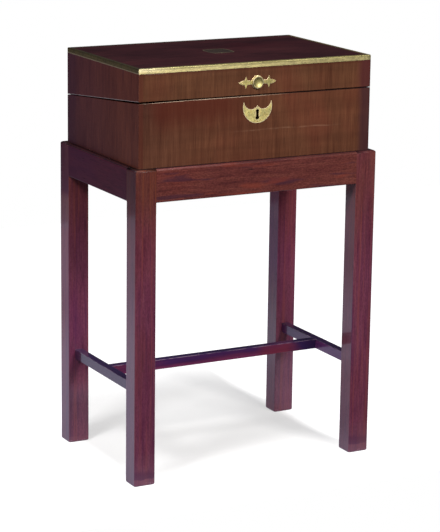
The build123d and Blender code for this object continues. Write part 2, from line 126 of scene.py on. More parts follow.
# ------------------------------------------------------------------ node helpers
class Mat:
    """A small wrapper for writing node materials."""

    def __init__(self, name):
        self.m = bpy.data.materials.new(name)
        self.m.use_nodes = True
        self.t = self.m.node_tree
        self.b = next(n for n in self.t.nodes if n.type == "BSDF_PRINCIPLED")
        self._obj = None

    def n(self, kind, **kw):
        nd = self.t.nodes.new(kind)
        for k, v in kw.items():
            setattr(nd, k, v)
        return nd

    def put(self, sock, v):
        if isinstance(v, (int, float)):
            if sock.type == "RGBA":
                sock.default_value = (v, v, v, 1)
            else:
                sock.default_value = v
        elif isinstance(v, (tuple, list)):
            if sock.type == "RGBA" and len(v) == 3:
                v = (*v, 1)
            sock.default_value = v
        else:
            self.t.links.new(v, sock)

    def obj(self):
        if self._obj is None:
            self._obj = self.n("ShaderNodeTexCoord").outputs["Object"]
        return self._obj

    def mapped(self, scale, loc=(0, 0, 0), rot=(0, 0, 0), src=None):
        m = self.n("ShaderNodeMapping")
        self.put(m.inputs["Vector"], src or self.obj())
        m.inputs["Location"].default_value = loc
        m.inputs["Rotation"].default_value = rot
        m.inputs["Scale"].default_value = scale
        return m.outputs[0]

    def noise(self, vec, scale, detail=3.0, rough=0.5, distort=0.0, dims="3D"):
        nd = self.n("ShaderNodeTexNoise", noise_dimensions=dims)
        self.put(nd.inputs["Vector"], vec)
        nd.inputs["Scale"].default_value = scale
        nd.inputs["Detail"].default_value = detail
        nd.inputs["Roughness"].default_value = rough
        nd.inputs["Distortion"].default_value = distort
        return nd.outputs["Fac"]

    def math(self, op, a, b=0.0, c=None, clamp=False):
        nd = self.n("ShaderNodeMath", operation=op, use_clamp=clamp)
        self.put(nd.inputs[0], a)
        self.put(nd.inputs[1], b)
        if c is not None:
            self.put(nd.inputs[2], c)
        return nd.outputs[0]

    def ramp(self, fac, stops, interp="LINEAR"):
        nd = self.n("ShaderNodeValToRGB")
        nd.color_ramp.interpolation = interp
        el = nd.color_ramp.elements
        while len(el) < len(stops):
            el.new(0.5)
        for e, (p, c) in zip(el, stops):
            e.position = p
            e.color = (*c, 1) if len(c) == 3 else c
        self.put(nd.inputs["Fac"], fac)
        return nd.outputs["Color"]

    def step(self, v, lo, hi, a=0.0, b=1.0, smooth=True):
        nd = self.n("ShaderNodeMapRange", interpolation_type="SMOOTHSTEP" if smooth else "LINEAR")
        self.put(nd.inputs["Value"], v)
        nd.inputs["From Min"].default_value = lo
        nd.inputs["From Max"].default_value = hi
        self.put(nd.inputs["To Min"], a)
        self.put(nd.inputs["To Max"], b)
        return nd.outputs["Result"]

    def mix(self, fac, a, b, mode="MIX"):
        nd = self.n("ShaderNodeMix", data_type="RGBA", blend_type=mode)
        self.put(nd.inputs[0], fac)
        self.put(nd.inputs[6], a)
        self.put(nd.inputs[7], b)
        return nd.outputs[2]

    def mul(self, col, v):
        """colour times a value or a grey"""
        return self.mix(1.0, col, v, "MULTIPLY")

    def xyz(self, src=None):
        nd = self.n("ShaderNodeSeparateXYZ")
        self.put(nd.inputs[0], src or self.obj())
        return nd.outputs

    def bump(self, height, strength, dist, prev=None):
        nd = self.n("ShaderNodeBump")
        nd.inputs["Strength"].default_value = strength
        nd.inputs["Distance"].default_value = dist
        self.put(nd.inputs["Height"], height)
        if prev is not None:
            self.put(nd.inputs["Normal"], prev)
        return nd.outputs["Normal"]

    def set(self, **kw):
        for k, v in kw.items():
            self.put(self.b.inputs[k.replace("_", " ")], v)


def lin(r, g, b):
    """8-bit screen colour to scene colour"""
    return tuple(((c / 255) / 12.92 if c / 255 <= 0.04045 else ((c / 255 + 0.055) / 1.055) ** 2.4) for c in (r, g, b))


def stretch(axis, along, across):
    """mapping scale that draws a pattern out along one axis"""
    s = [across] * 3
    s["XYZ".index(axis)] = along
    return tuple(s)


def wood(name, grain, dark, mid, light, red=None, seed=0.0, fine=1.0, figure=0.5, pores=0.35, rough=0.3,
         spec=0.4, ior=1.45, coat=0.0, coat_rough=0.12, bump=0.12, extra=None, contrast=1.0):
    """Mahogany: fibre streaks, pores and slow figure along one axis."""
    M = Mat(name)
    off = (seed * 1.37, seed * 2.11, seed * 0.73)
    fibre_v = M.mapped(stretch(grain, 0.035, 1.0), off)
    warp = M.noise(M.mapped((1, 1, 1), off), 5.0, 2.0)
    fibre = M.noise(fibre_v, 560.0, 5.0, 0.70)
    band = M.noise(M.mapped(stretch(grain, 0.07, 1.0), off), 130.0, 4.0, 0.60, 0.25)
    fig = M.noise(M.mapped(stretch(grain, 0.30, 1.0), off), 14.0, 3.0, 0.5, 0.5)
    f1 = M.math("MULTIPLY_ADD", M.math("SUBTRACT", fibre, 0.5), 2.2 * contrast, 0.5)
    b1 = M.math("MULTIPLY_ADD", M.math("SUBTRACT", band, 0.5), 1.9 * contrast, 0.5)
    g1 = M.math("MULTIPLY_ADD", M.math("SUBTRACT", fig, 0.5), 2.2, 0.5)
    wf, wg = 0.46, 0.34 * figure
    fl = M.math("MULTIPLY_ADD", f1, wf, M.math("MULTIPLY_ADD", b1, 1.0 - wf - wg, M.math("MULTIPLY", g1, wg)))
    col = M.ramp(M.step(fl, 0.22, 0.80, smooth=False), [(0.0, dark), (0.48, mid), (1.0, light)])
    if red:
        blotch = M.step(M.noise(M.mapped(stretch(grain, 0.5, 1.0), (off[0] + 3.1, off[1], off[2])), 7.5, 2.0, 0.5, 0.4), 0.52, 0.68)
        col = M.mix(M.math("MULTIPLY", blotch, red[3]), col, red[:3])
    # open pores: short dark dashes along the grain
    pv = M.mapped(stretch(grain, 0.05, 1.0), (off[0], off[1] + 5.2, off[2]))
    pore = M.step(M.noise(pv, 900.0 * fine, 1.0, 0.4), 0.60, 0.72)
    gate = M.step(M.noise(M.mapped(stretch(grain, 0.3, 1.0), off), 120.0, 2.0), 0.42, 0.60)
    pore = M.math("MULTIPLY", pore, gate)
    col = M.mix(M.math("MULTIPLY", pore, pores), col, tuple(c * 0.30 for c in dark))
    if extra:
        col = extra(M, col)
    M.set(Base_Color=col)
    rv = M.math("MULTIPLY_ADD", band, 0.10, rough - 0.05)
    M.set(Roughness=M.math("MULTIPLY_ADD", pore, 0.25, rv, clamp=True))
    M.b.inputs["Specular IOR Level"].default_value = spec
    M.b.inputs["IOR"].default_value = ior
    M.b.inputs["Coat Weight"].default_value = coat
    M.b.inputs["Coat Roughness"].default_value = coat_rough
    M.b.inputs["Coat IOR"].default_value = 1.5
    n1 = M.bump(M.math("SUBTRACT", M.math("MULTIPLY", fibre, 0.5), pore), bump, 0.00020)
    M.set(Normal=n1)
    return M.m


def brass(name, bright, tarnish, dirt, rough=0.28, seed=0.0, patch=0.5, dents=0.4, scratches=0.5, colour_overlay=None, metal=1.0):
    """Old lacquer-free brass: rubbed bright, tarnished brown in patches, fine scratches."""
    M = Mat(name)
    off = (seed, seed * 2.3, seed * 0.7)
    v = M.mapped((1, 1, 1), off)
    a = M.noise(v, 60.0, 4.0, 0.6)
    b = M.noise(v, 240.0, 3.0, 0.6)
    c = M.noise(M.mapped((0.25, 1, 1), off), 800.0, 2.0, 0.5)
    t = M.step(M.math("MULTIPLY_ADD", b, 0.35, M.math("MULTIPLY", a, 0.65)), 0.40, 0.64)
    col = M.mix(M.math("MULTIPLY", t, patch), bright, tarnish)
    spot = M.step(M.noise(v, 420.0, 2.0, 0.5), 0.66, 0.74)
    col = M.mix(M.math("MULTIPLY", spot, 0.6), col, dirt)
    if colour_overlay:
        col = colour_overlay(M, col)
    M.set(Base_Color=col, Roughness=M.math("MULTIPLY_ADD", t, 0.16, M.math("MULTIPLY_ADD", c, 0.10, rough - 0.05), clamp=True))
    M.b.inputs["Metallic"].default_value = metal
    n1 = M.bump(c, 0.10 * scratches, 0.0002)
    n2 = M.bump(M.noise(v, 55.0, 2.0, 0.5), 0.35 * dents, 0.0006, n1)
    M.set(Normal=n2)
    return M.m


def plain(name, col, col2, scale, rough, bump=0.15, dist=0.0004, metal=0.0, spec=0.4, detail=4.0, extra=None):
    M = Mat(name)
    v = M.mapped((1, 1, 1))
    f = M.noise(v, scale, detail, 0.6)
    c = M.mix(M.step(f, 0.35, 0.65), col, col2)
    if extra:
        c = extra(M, c)
    M.set(Base_Color=c, Roughness=M.math("MULTIPLY_ADD", f, 0.15, rough - 0.07, clamp=True))
    M.b.inputs["Metallic"].default_value = metal
    M.b.inputs["Specular IOR Level"].default_value = spec
    M.set(Normal=M.bump(f, bump, dist))
    return M.m


# ------------------------------------------------------------------ mesh helpers
def finish_mesh(name, bm, mats, body, replace=(), bevel=0.0, segs=2, smooth=35.0, limit=30.0):
    """bmesh -> object, with a rounded arris, riding on its body"""
    bmesh.ops.remove_doubles(bm, verts=bm.verts, dist=1e-6)
    bmesh.ops.recalc_face_normals(bm, faces=bm.faces)
    me = bpy.data.meshes.new(name)
    bm.to_mesh(me)
    bm.free()
    ob = bpy.data.objects.new(name, me)
    bpy.context.scene.collection.objects.link(ob)
    for m in (mats if isinstance(mats, (list, tuple)) else [mats]):
        me.materials.append(m)
    if bevel > 0:
        apply_bevel(ob, bevel, segs, limit)
    me = ob.data
    me.shade_smooth()
    me.set_sharp_from_angle(angle=math.radians(smooth))
    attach(ob, body)
    if replace:
        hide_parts(*replace)
    return ob


def bake_modifiers(ob):
    dg = bpy.context.evaluated_depsgraph_get()
    me = bpy.data.meshes.new_from_object(ob.evaluated_get(dg))
    mats = [s.material for s in ob.material_slots]
    old = ob.data
    ob.modifiers.clear()
    ob.data = me
    if not me.materials:
        for m in mats:
            me.materials.append(m)
    bpy.data.meshes.remove(old)
    return ob


def apply_bevel(ob, width, segs=2, limit=30.0):
    md = ob.modifiers.new("b", "BEVEL")
    md.width, md.segments, md.limit_method = width, segs, "ANGLE"
    md.angle_limit = math.radians(limit)
    md.harden_normals = False
    md.use_clamp_overlap = True
    md.miter_outer = "MITER_ARC"
    return bake_modifiers(ob)


def add_prism(bm, ring, shift):
    """closed prism from a ring of points moved by a vector"""
    a = [bm.verts.new(p) for p in ring]
    b = [bm.verts.new(Vector(p) + Vector(shift)) for p in ring]
    bm.faces.new(a[::-1])
    bm.faces.new(b)
    n = len(a)
    for i in range(n):
        bm.faces.new((a[i], a[(i + 1) % n], b[(i + 1) % n], b[i]))
    return a + b


def add_block(bm, lo, hi):
    return add_prism(bm, [(lo[0], lo[1], lo[2]), (hi[0], lo[1], lo[2]), (hi[0], hi[1], lo[2]), (lo[0], hi[1], lo[2])], (0, 0, hi[2] - lo[2]))


def boolean(ob, cutter_bm, op="DIFFERENCE"):
    me = bpy.data.meshes.new("cut")
    bmesh.ops.recalc_face_normals(cutter_bm, faces=cutter_bm.faces)
    cutter_bm.to_mesh(me)
    cutter_bm.free()
    cu = bpy.data.objects.new("cut", me)
    bpy.context.scene.collection.objects.link(cu)
    md = ob.modifiers.new("x", "BOOLEAN")
    md.operation, md.object, md.solver = op, cu, "EXACT"
    bpy.context.view_layer.update()
    bake_modifiers(ob)
    bpy.data.objects.remove(cu)
    bpy.data.meshes.remove(me)
    return ob


def raw_object(name, bm):
    bmesh.ops.recalc_face_normals(bm, faces=bm.faces)
    me = bpy.data.meshes.new(name)
    bm.to_mesh(me)
    bm.free()
    ob = bpy.data.objects.new(name, me)
    bpy.context.scene.collection.objects.link(ob)
    return ob


def to_bm(ob):
    bm = bmesh.new()
    bm.from_mesh(ob.data)
    me = ob.data
    bpy.data.objects.remove(ob)
    bpy.data.meshes.remove(me)
    return bm


def from_cad(name, node, mats, body=None, bevel=0.0, segs=2, smooth=35.0, dissolve=True, limit=30.0):
    """the CAD node's own shape with eased arrises"""
    src = NODES[node]
    bm = bmesh.new()
    bm.from_mesh(src.data)
    bmesh.ops.remove_doubles(bm, verts=bm.verts, dist=2e-6)
    if dissolve:
        bmesh.ops.dissolve_limit(bm, angle_limit=math.radians(1.0), verts=bm.verts, edges=bm.edges)
    return finish_mesh(name, bm, mats, body or src["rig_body"], [node], bevel, segs, smooth, limit)


# ------------------------------------------------------------------ colours
def tone(r, g, b, k=1.0):
    return tuple(min(1.0, c * k) for c in lin(r, g, b))


# ------------------------------------------------------------------ box front: stains and wear, with painted shade and highlights
def front_stains_and_shade(M, col):
    o = M.xyz()
    x, y, z = o["X"], o["Y"], o["Z"]
    face = M.step(y, -0.1575, -0.1585)
    # painted shade: the left end of the base is darker, most of all under the lid
    low = M.step(z, 0.735, 0.640)
    shade = M.ramp(M.step(x, -0.249, 0.03, smooth=False), [(0.0, (0.52, 0.50, 0.66)), (0.25, (0.66, 0.64, 0.70)), (0.62, (0.84, 0.82, 0.86)), (1.0, (1.0, 1.0, 1.0))])
    shade = M.mix(low, shade, M.ramp(M.step(x, -0.249, -0.10, smooth=False), [(0.0, (0.82, 0.84, 0.98)), (1.0, (0.97, 0.97, 1.0))]))
    shade = M.mix(M.step(z, 0.7365, 0.7375), shade, (0.92, 0.98, 0.96))
    col = M.mul(col, shade)
    ripple = M.noise(M.mapped((0.9, 1.0, 9.0), (0.4, 0.0, 1.7)), 5.0, 3.0, 0.55, 0.4)
    col = M.mul(col, M.ramp(ripple, [(0.30, (0.88, 0.88, 0.88)), (0.70, (1.12, 1.11, 1.10))]))
    # reddish heart near the top left of the base
    n = M.noise(M.mapped((1, 1, 0.4)), 22.0, 3.0, 0.6)
    redx = M.math("MULTIPLY", M.step(x, -0.235, -0.205), M.step(x, 0.02, -0.09))
    redz = M.math("MULTIPLY", M.step(M.math("MULTIPLY_ADD", n, 0.05, z), 0.690, 0.745), M.step(z, 0.7385, 0.7365))
    col = M.mix(M.math("MULTIPLY", M.math("MULTIPLY", redx, redz), 0.55), col, tone(84, 32, 24, K_FRONT))
    # warm strip beside the left arris, and a darker line of painted shade where the lid's veneer meets the brass
    col = M.mix(M.math("MULTIPLY", M.step(x, -0.2385, -0.2415), 0.50), col, tone(86, 40, 32, K_FRONT))
    under = M.math("MULTIPLY_ADD", M.noise(M.mapped((1, 1, 1)), 90.0, 3.0), 0.004, z)
    col = M.mix(M.math("MULTIPLY", M.step(under, 0.7850, 0.7905), 0.55), col, tone(76, 38, 26, K_FRONT))
    # painted shade down the right end, redder on the lid
    edge = M.math("MULTIPLY_ADD", M.noise(M.mapped((1, 1, 0.5)), 30.0, 3.0), 0.012, x)
    right_end_shade = M.mix(M.step(z, 0.7365, 0.7375), tone(62, 36, 42, K_FRONT), tone(78, 36, 40, K_FRONT))
    col = M.mix(M.math("MULTIPLY", M.step(edge, 0.222, 0.240), 0.75), col, right_end_shade)
    # thin pale scuff across the base
    wob = M.math("MULTIPLY_ADD", M.noise(M.mapped((1, 0, 0)), 9.0, 2.0), 0.012, z)
    sc = M.math("MULTIPLY", M.step(wob, 0.6738, 0.6758), M.step(wob, 0.6782, 0.6762))
    sc = M.math("MULTIPLY", sc, M.math("MULTIPLY", M.step(x, -0.07, 0.02), M.step(x, 0.20, 0.13)))
    sc = M.math("MULTIPLY", sc, M.step(M.noise(M.mapped((1, 1, 1)), 45.0, 2.0), 0.30, 0.60))
    col = M.mix(M.math("MULTIPLY", M.math("MULTIPLY", sc, face), 0.30), col, tone(160, 122, 100, K_FRONT))
    # painted shade inside the keyhole
    dx, dz = M.math("SUBTRACT", x, KEY_X), M.math("MULTIPLY", M.math("SUBTRACT", z, KEY_Z), 0.55)
    r = M.math("SQRT", M.math("ADD", M.math("MULTIPLY", dx, dx), M.math("MULTIPLY", dz, dz)))
    col = M.mix(M.math("MULTIPLY", M.step(r, 0.0086, 0.0078), M.step(y, -HY + 0.0001, -HY + 0.0004)), col, (0.006, 0.004, 0.003))
    return col


def rim_wear_and_highlight(M, col, y_or_x=None, strength=0.8, colour=(196, 172, 150)):
    """pale line along the base's top edge: rubbed wood and a painted highlight"""
    o = M.xyz()
    z, y, x = o["Z"], o["Y"], o["X"]
    # height under the slanted cut
    h = M.math("ADD", z, M.math("MULTIPLY_ADD", M.math("ADD", y, HY), SLOPE, -SPLIT_F + 0.0005))
    broken = M.noise(M.mapped((1, 1, 1)), 60.0, 4.0, 0.65)
    lim = M.math("MULTIPLY_ADD", broken, 0.0022, -0.0026)
    top = M.step(x, -0.15, -0.09, 0.0004, -0.0003)
    line = M.math("MULTIPLY", M.step(M.math("SUBTRACT", h, lim), -0.0003, 0.0003), M.step(M.math("SUBTRACT", h, top), 0.0001, -0.0003))
    fade = M.math("MULTIPLY", M.step(x, 0.10, -0.04, 0.0, 1.0), M.step(y, -HY + 0.0045, -HY + 0.0020))
    return M.mix(M.math("MULTIPLY", M.math("MULTIPLY", line, fade), strength), col, tone(*colour, K_FRONT))


def side_rim_wear_and_highlight(M, col):
    """pale line on the lid's lower arris along the sides: rubbed wear and a painted highlight"""
    o = M.xyz()
    h = M.math("ADD", o["Z"], M.math("MULTIPLY_ADD", M.math("ADD", o["Y"], HY), SLOPE, -SPLIT_F - 0.0005))
    fy = M.step(o["Y"], -HY, HY, 0.0012, 0.0004, smooth=False)
    h = M.math("SUBTRACT", h, fy)
    broken = M.noise(M.mapped((1, 1, 1)), 70.0, 4.0, 0.65)
    line = M.math("MULTIPLY", M.step(h, -0.0004, 0.0001), M.step(h, 0.0013, 0.0008))
    line = M.math("MULTIPLY", line, M.step(broken, 0.30, 0.50, 0.45, 1.0))
    line = M.math("MULTIPLY", line, M.step(o["Y"], HY - 0.004, HY - 0.030, 0.25, 1.0))
    line = M.math("MULTIPLY", line, M.step(o["X"], -HX + 0.05, -HX + 0.10, 1.0, 0.30))
    return M.mix(M.math("MULTIPLY", line, 0.50), col, tone(166, 158, 162, K_SIDE))


def ledge_shade_and_highlight(M, col):
    """the narrow ledge round the box is painted dark as its shadow, with painted shade on the outer rim under its
    arris; the front arris gets a painted highlight towards the left corner
    """
    o = M.xyz()
    x, y, z = o["X"], o["Y"], o["Z"]
    edge = M.math("MINIMUM", M.math("SUBTRACT", SX, M.math("ABSOLUTE", x)), M.math("SUBTRACT", SY, M.math("ABSOLUTE", y)))
    # painted shadow on the ledge beside the box
    ledge = M.math("MULTIPLY", M.step(z, RAIL_TOP - 0.0012, RAIL_TOP - 0.0003), M.step(edge, 0.0008, 0.0022))
    col = M.mix(M.math("MULTIPLY", ledge, 0.85), col, tone(38, 16, 24, K_LEG))
    arris = M.math("MULTIPLY", M.step(z, RAIL_TOP - 0.0026, RAIL_TOP - 0.0012), M.step(edge, 0.0022, 0.0008))
    # painted shade on the outer rim under the arris, darker and bluer on the left side
    rim = M.math("MULTIPLY", M.step(z, RAIL_TOP - 0.0036, RAIL_TOP - 0.0022), M.step(edge, 0.0034, 0.0018))
    left = M.math("MULTIPLY", rim, M.step(x, -SX + 0.0040, -SX + 0.0022))
    col = M.mix(left, col, M.mul(col, (0.20, 0.34, 0.72)))
    front = M.math("MULTIPLY", M.math("MULTIPLY", rim, M.step(y, -SY + 0.0040, -SY + 0.0022)), M.step(x, -0.16, 0.05))
    col = M.mix(front, col, M.mul(col, (0.62, 0.60, 0.60)))
    # painted highlight on the front arris towards the left corner, broken by noise
    rub = M.step(M.noise(M.mapped((1, 1, 1)), 60.0, 3.0), 0.30, 0.55, 0.4, 1.0)
    pale = M.math("MULTIPLY", M.math("MULTIPLY", arris, rub), M.math("MULTIPLY", M.step(y, -SY + 0.006, -SY + 0.002), M.step(x, -0.02, -0.22)))
    return M.mix(M.math("MULTIPLY", pale, 0.75), col, tone(196, 150, 156, K_LEG))


KEY_X, KEY_Z = 0.0, 0.7003
# brightness scales for the tones of the box's front, sides and top and of the stand; the differences between the box's
# three are painted light
K_FRONT, K_SIDE, K_TOP, K_LEG = 0.74, 1.00, 0.52, 0.70
BOSS = (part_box("finger_boss")[0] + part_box("finger_boss")[1]) / 2
BOSS_R = (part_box("finger_boss")[1].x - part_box("finger_boss")[0].x) / 2


def circle3(p, q, r):
    """centre and radius of the circle through three points, millimetres to metres"""
    (ax, ay), (bx, by), (cx, cy) = p, q, r
    d = 2 * (ax * (by - cy) + bx * (cy - ay) + cx * (ay - by))
    ux = ((ax * ax + ay * ay) * (by - cy) + (bx * bx + by * by) * (cy - ay) + (cx * cx + cy * cy) * (ay - by)) / d
    uy = ((ax * ax + ay * ay) * (cx - bx) + (bx * bx + by * by) * (ax - cx) + (cx * cx + cy * cy) * (bx - ax)) / d
    return ux * MM, uy * MM, math.hypot(ax - ux, ay - uy) * MM


# the crescent escutcheon's arcs, from the lock's reference height
LZ = 703.5 * MM
ESC_OUT = circle3((29.3, 22.0), (0.0, -20.0), (-29.3, 22.0))
ESC_HORN = circle3((29.3, 22.0), (24.2, 11.6), (13.5, 7.0))
ESC_HEEL = circle3((13.5, 7.0), (5.6, 8.6), (0.0, 14.0))


def build_materials():
    m = {}

    def front_extra(M, col):
        o = M.xyz()
        x, z = o["X"], o["Z"]
        near = M.step(o["Y"], -HY + 0.0060, -HY + 0.0030)
        col = rim_wear_and_highlight(M, front_stains_and_shade(M, col))
        # painted shadow in the joint: on the lid's lower arris, and at the right end on the base's too
        wob = M.math("MULTIPLY_ADD", M.noise(M.mapped((1, 0, 0)), 26.0, 2.0), 0.0008, z)
        over = M.math("MULTIPLY", M.step(z, SPLIT_F - 0.0001, SPLIT_F + 0.0001), M.step(wob, SPLIT_F + 0.0026, SPLIT_F + 0.0017))
        col = M.mix(M.math("MULTIPLY", M.math("MULTIPLY", over, near), 0.90), col, tone(18, 10, 9, K_FRONT))
        seam = M.math("MULTIPLY", M.math("MULTIPLY", M.step(z, SPLIT_F - 0.0010, SPLIT_F - 0.0007), M.step(x, -0.15, -0.09)), near)
        col = M.mix(M.math("MULTIPLY", M.math("MULTIPLY", seam, M.step(z, SPLIT_F + 0.0001, SPLIT_F - 0.0001)), 0.90), col, tone(18, 10, 9, K_FRONT))
        below = M.math("MULTIPLY", M.step(z, SPLIT_F + 0.0001, SPLIT_F - 0.0001), M.step(z, SPLIT_F - 0.0020, SPLIT_F - 0.0012))
        below = M.math("MULTIPLY", M.math("MULTIPLY", below, M.step(x, 0.02, 0.12)), near)
        return M.mix(M.math("MULTIPLY", below, 0.75), col, tone(44, 24, 24, K_FRONT))

    def side_extra(M, col):
        o = M.xyz()
        # painted shade along the outer end faces: lighter and warmer towards the front, darker and bluer towards the
        # back
        y = M.math("MULTIPLY_ADD", M.noise(M.mapped((1, 1, 1)), 18.0, 2.0), 0.05, o["Y"])
        out = M.mul(col, M.ramp(M.step(y, 0.17, -0.12), [(0.0, (0.86, 0.86, 1.12)), (0.35, (0.96, 0.94, 1.04)), (1.0, (1.26, 1.18, 0.94))]))
        out = M.mix(M.math("MULTIPLY", M.step(y, 0.125, 0.165), 0.45), out, tone(50, 30, 44, K_SIDE))
        # only the outer end faces take this painted shade; the back and the inside are given a lighter, browner copy
        outside = M.step(M.math("ABSOLUTE", o["X"]), HX - 0.0030, HX - 0.0008)
        return side_rim_wear_and_highlight(M, M.mix(outside, M.mul(col, (1.30, 1.22, 0.96)), out))

    # painted light: the front, side and top woods are the same mahogany, each given the tone its face shows under the
    # light
    m["front"] = wood("box_front", "Z", tone(72, 40, 28, K_FRONT), tone(97, 59, 41, K_FRONT), tone(116, 74, 52, K_FRONT),
                      (*tone(104, 50, 38, K_FRONT), 0.40), seed=0.31, figure=0.30, pores=0.25, rough=0.36, spec=0.12,
                      coat=0.22, coat_rough=0.10, bump=0.08, extra=front_extra, contrast=0.72)
    m["side"] = wood("box_side", "Z", tone(54, 26, 28, K_SIDE), tone(70, 38, 37, K_SIDE), tone(84, 47, 42, K_SIDE),
                     (*tone(62, 34, 44, K_SIDE), 0.5), seed=0.73, figure=0.9, pores=0.3, rough=0.36, spec=0.12, contrast=1.15,
                     coat=0.30, coat_rough=0.10, bump=0.10, extra=side_extra)
    m["top"] = wood("box_top", "X", tone(40, 17, 21, K_TOP), tone(59, 29, 32, K_TOP), tone(80, 40, 42, K_TOP),
                    (*tone(70, 28, 32, K_TOP), 0.6), seed=1.9, figure=1.2, pores=0.5, rough=0.45, spec=0.10,
                    coat=0.08, coat_rough=0.20, bump=0.08, contrast=1.3)

    def leg_extra(M, col):
        o = M.xyz()
        fleck = M.noise(M.mapped((1.0, 1.0, 0.45), (0.9, 0.3, 0.6)), 520.0, 2.0, 0.6)
        col = M.mul(col, M.ramp(fleck, [(0.36, (0.84, 0.82, 0.82)), (0.64, (1.16, 1.18, 1.18))]))
        z = M.math("MULTIPLY_ADD", M.noise(M.mapped((1, 1, 1)), 40.0, 3.0), 0.016, o["Z"])
        # orange and purple streaks in the veneer-like surface
        s1 = M.noise(M.mapped((1.0, 1.0, 0.012), (2.2, 0.7, 0.1)), 210.0, 3.0, 0.6)
        col = M.mix(M.math("MULTIPLY", M.step(s1, 0.52, 0.66), 0.45), col, tone(136, 64, 52, K_LEG))
        s2 = M.noise(M.mapped((1.0, 1.0, 0.016), (5.2, 1.7, 0.4)), 170.0, 3.0, 0.6)
        col = M.mix(M.math("MULTIPLY", M.step(s2, 0.54, 0.68), M.step(o["Z"], 0.58, 0.40, 0.12, 0.50)), col, tone(66, 24, 50, K_LEG))
        # painted reflection: a dark band above a paler foot; pale chips near the bottom
        front = M.step(o["Y"], -SY + 0.003, -SY + 0.001)
        zb = M.math("SUBTRACT", z, M.step(o["X"], -0.1, 0.1, 0.0, 0.0055))
        dark = M.math("MULTIPLY", M.math("MULTIPLY", M.step(zb, 0.0195, 0.0212), M.step(zb, 0.042, 0.030)), front)
        col = M.mix(M.math("MULTIPLY", dark, 0.74), col, tone(78, 15, 42, K_LEG))
        col = M.mix(M.math("MULTIPLY", M.step(zb, 0.0212, 0.0195), 0.22), col, tone(128, 70, 66, K_LEG))
        chip = M.math("MULTIPLY", M.step(M.noise(M.mapped((1, 1, 1)), 300.0, 2.0), 0.54, 0.62), M.step(z, 0.014, 0.010))
        col = M.mix(M.math("MULTIPLY", chip, 0.6), col, tone(176, 128, 120, K_LEG))
        # purple and brown drift in the polish
        q = M.noise(M.mapped((0.6, 0.6, 0.10)), 26.0, 2.0, 0.5)
        col = M.mix(M.math("MULTIPLY", M.step(q, 0.52, 0.66), M.step(o["Z"], 0.58, 0.40, 0.04, 0.25)), col, tone(92, 36, 66, K_LEG))
        col = M.mix(M.math("MULTIPLY", M.step(q, 0.46, 0.32), 0.25), col, tone(112, 56, 42, K_LEG))
        # painted reflection: the legs are bluer lower down and less blue by the frieze
        col = M.mul(ledge_shade_and_highlight(M, col), M.ramp(M.step(o["Z"], 0.60, 0.32), [(0.0, (0.92, 0.98, 0.86)), (1.0, (1.0, 1.05, 1.60))]))
        # the left front post is browner and darker at its head
        fr = M.math("MULTIPLY", M.math("MULTIPLY", M.step(o["X"], 0.0, 0.1), M.step(o["Y"], -SY + 0.003, -SY + 0.001)), M.step(o["Z"], 0.10, 0.26))
        col = M.mix(fr, col, M.mul(col, (1.16, 1.28, 1.16)))
        head = M.math("MULTIPLY", M.math("MULTIPLY", M.step(o["Z"], 0.46, 0.58), M.step(o["X"], 0.0, -0.1)), M.step(o["Y"], 0.0, -0.1))
        col = M.mix(head, col, M.mul(col, (0.80, 0.86, 0.56)))
        # painted shade: the outer face of the left front post is darker and bluer at its head
        cheek = M.math("MULTIPLY", head, M.step(o["X"], -SX + 0.0016, -SX + 0.0004))
        return M.mix(cheek, col, M.mul(col, (0.62, 0.62, 1.05)))

    def back_extra(M, col):
        # painted light: the back posts are a lighter copy of the front posts' wood
        col = M.mul(leg_extra(M, col), (1.38, 1.38, 1.32))
        o = M.xyz()
        # the right back post is painted lighter above its foot, and the left back post darker at its foot
        right = M.ramp(M.math("MULTIPLY", M.step(o["X"], -0.1, 0.1), M.step(o["Z"], 0.12, 0.34, 0.25, 1.0)), [(0.0, (0.98, 1.02, 1.04)), (1.0, (1.26, 1.24, 1.26))])
        foot = M.math("MULTIPLY", M.step(o["X"], 0.1, -0.1), M.step(o["Z"], 0.30, 0.12))
        col = M.mix(foot, M.mul(col, right), M.mul(col, (0.84, 0.84, 0.86)))
        # painted reflection of the floor, lighter and bluer, on the inner face of the right back post
        inner = M.math("MULTIPLY", M.step(o["X"], 0.0, 0.1), M.step(o["X"], SX - 0.0418, SX - 0.0430))
        inner = M.math("MULTIPLY", inner, M.step(o["Z"], 0.22, 0.34))
        col = M.mix(inner, col, M.mul(col, (1.10, 1.22, 1.70)))
        # painted shade and reflection: the outer face of the left back post is darker at its head, and painted grey
        # lower down as the floor's reflection
        outer = M.step(o["X"], -SX + 0.0016, -SX + 0.0004)
        top = M.math("MULTIPLY", outer, M.step(o["Z"], 0.500, 0.522))
        col = M.mix(top, col, M.mul(col, (0.46, 0.46, 0.86)))
        mid = M.math("MULTIPLY", outer, M.math("MULTIPLY", M.step(o["Z"], 0.520, 0.502), M.step(o["Z"], 0.432, 0.452)))
        return M.mix(mid, col, M.mul(col, (0.92, 1.55, 1.50)))

    m["leg_back"] = wood("stand_leg_back", "Z", tone(78, 28, 44, K_LEG), tone(106, 48, 58, K_LEG), tone(124, 64, 66, K_LEG),
                         (*tone(116, 50, 46, K_LEG), 0.35), seed=2.7, figure=0.8, pores=0.5, rough=0.30, spec=0.45,
                         coat=0.9, coat_rough=0.07, bump=0.10, extra=back_extra)
    m["leg"] = wood("stand_leg", "Z", tone(78, 28, 44, K_LEG), tone(106, 48, 58, K_LEG), tone(124, 64, 66, K_LEG),
                    (*tone(116, 50, 46, K_LEG), 0.35), seed=1.3, figure=0.5, pores=0.5, rough=0.30, spec=0.45,
                    coat=0.9, coat_rough=0.07, bump=0.10, extra=leg_extra)

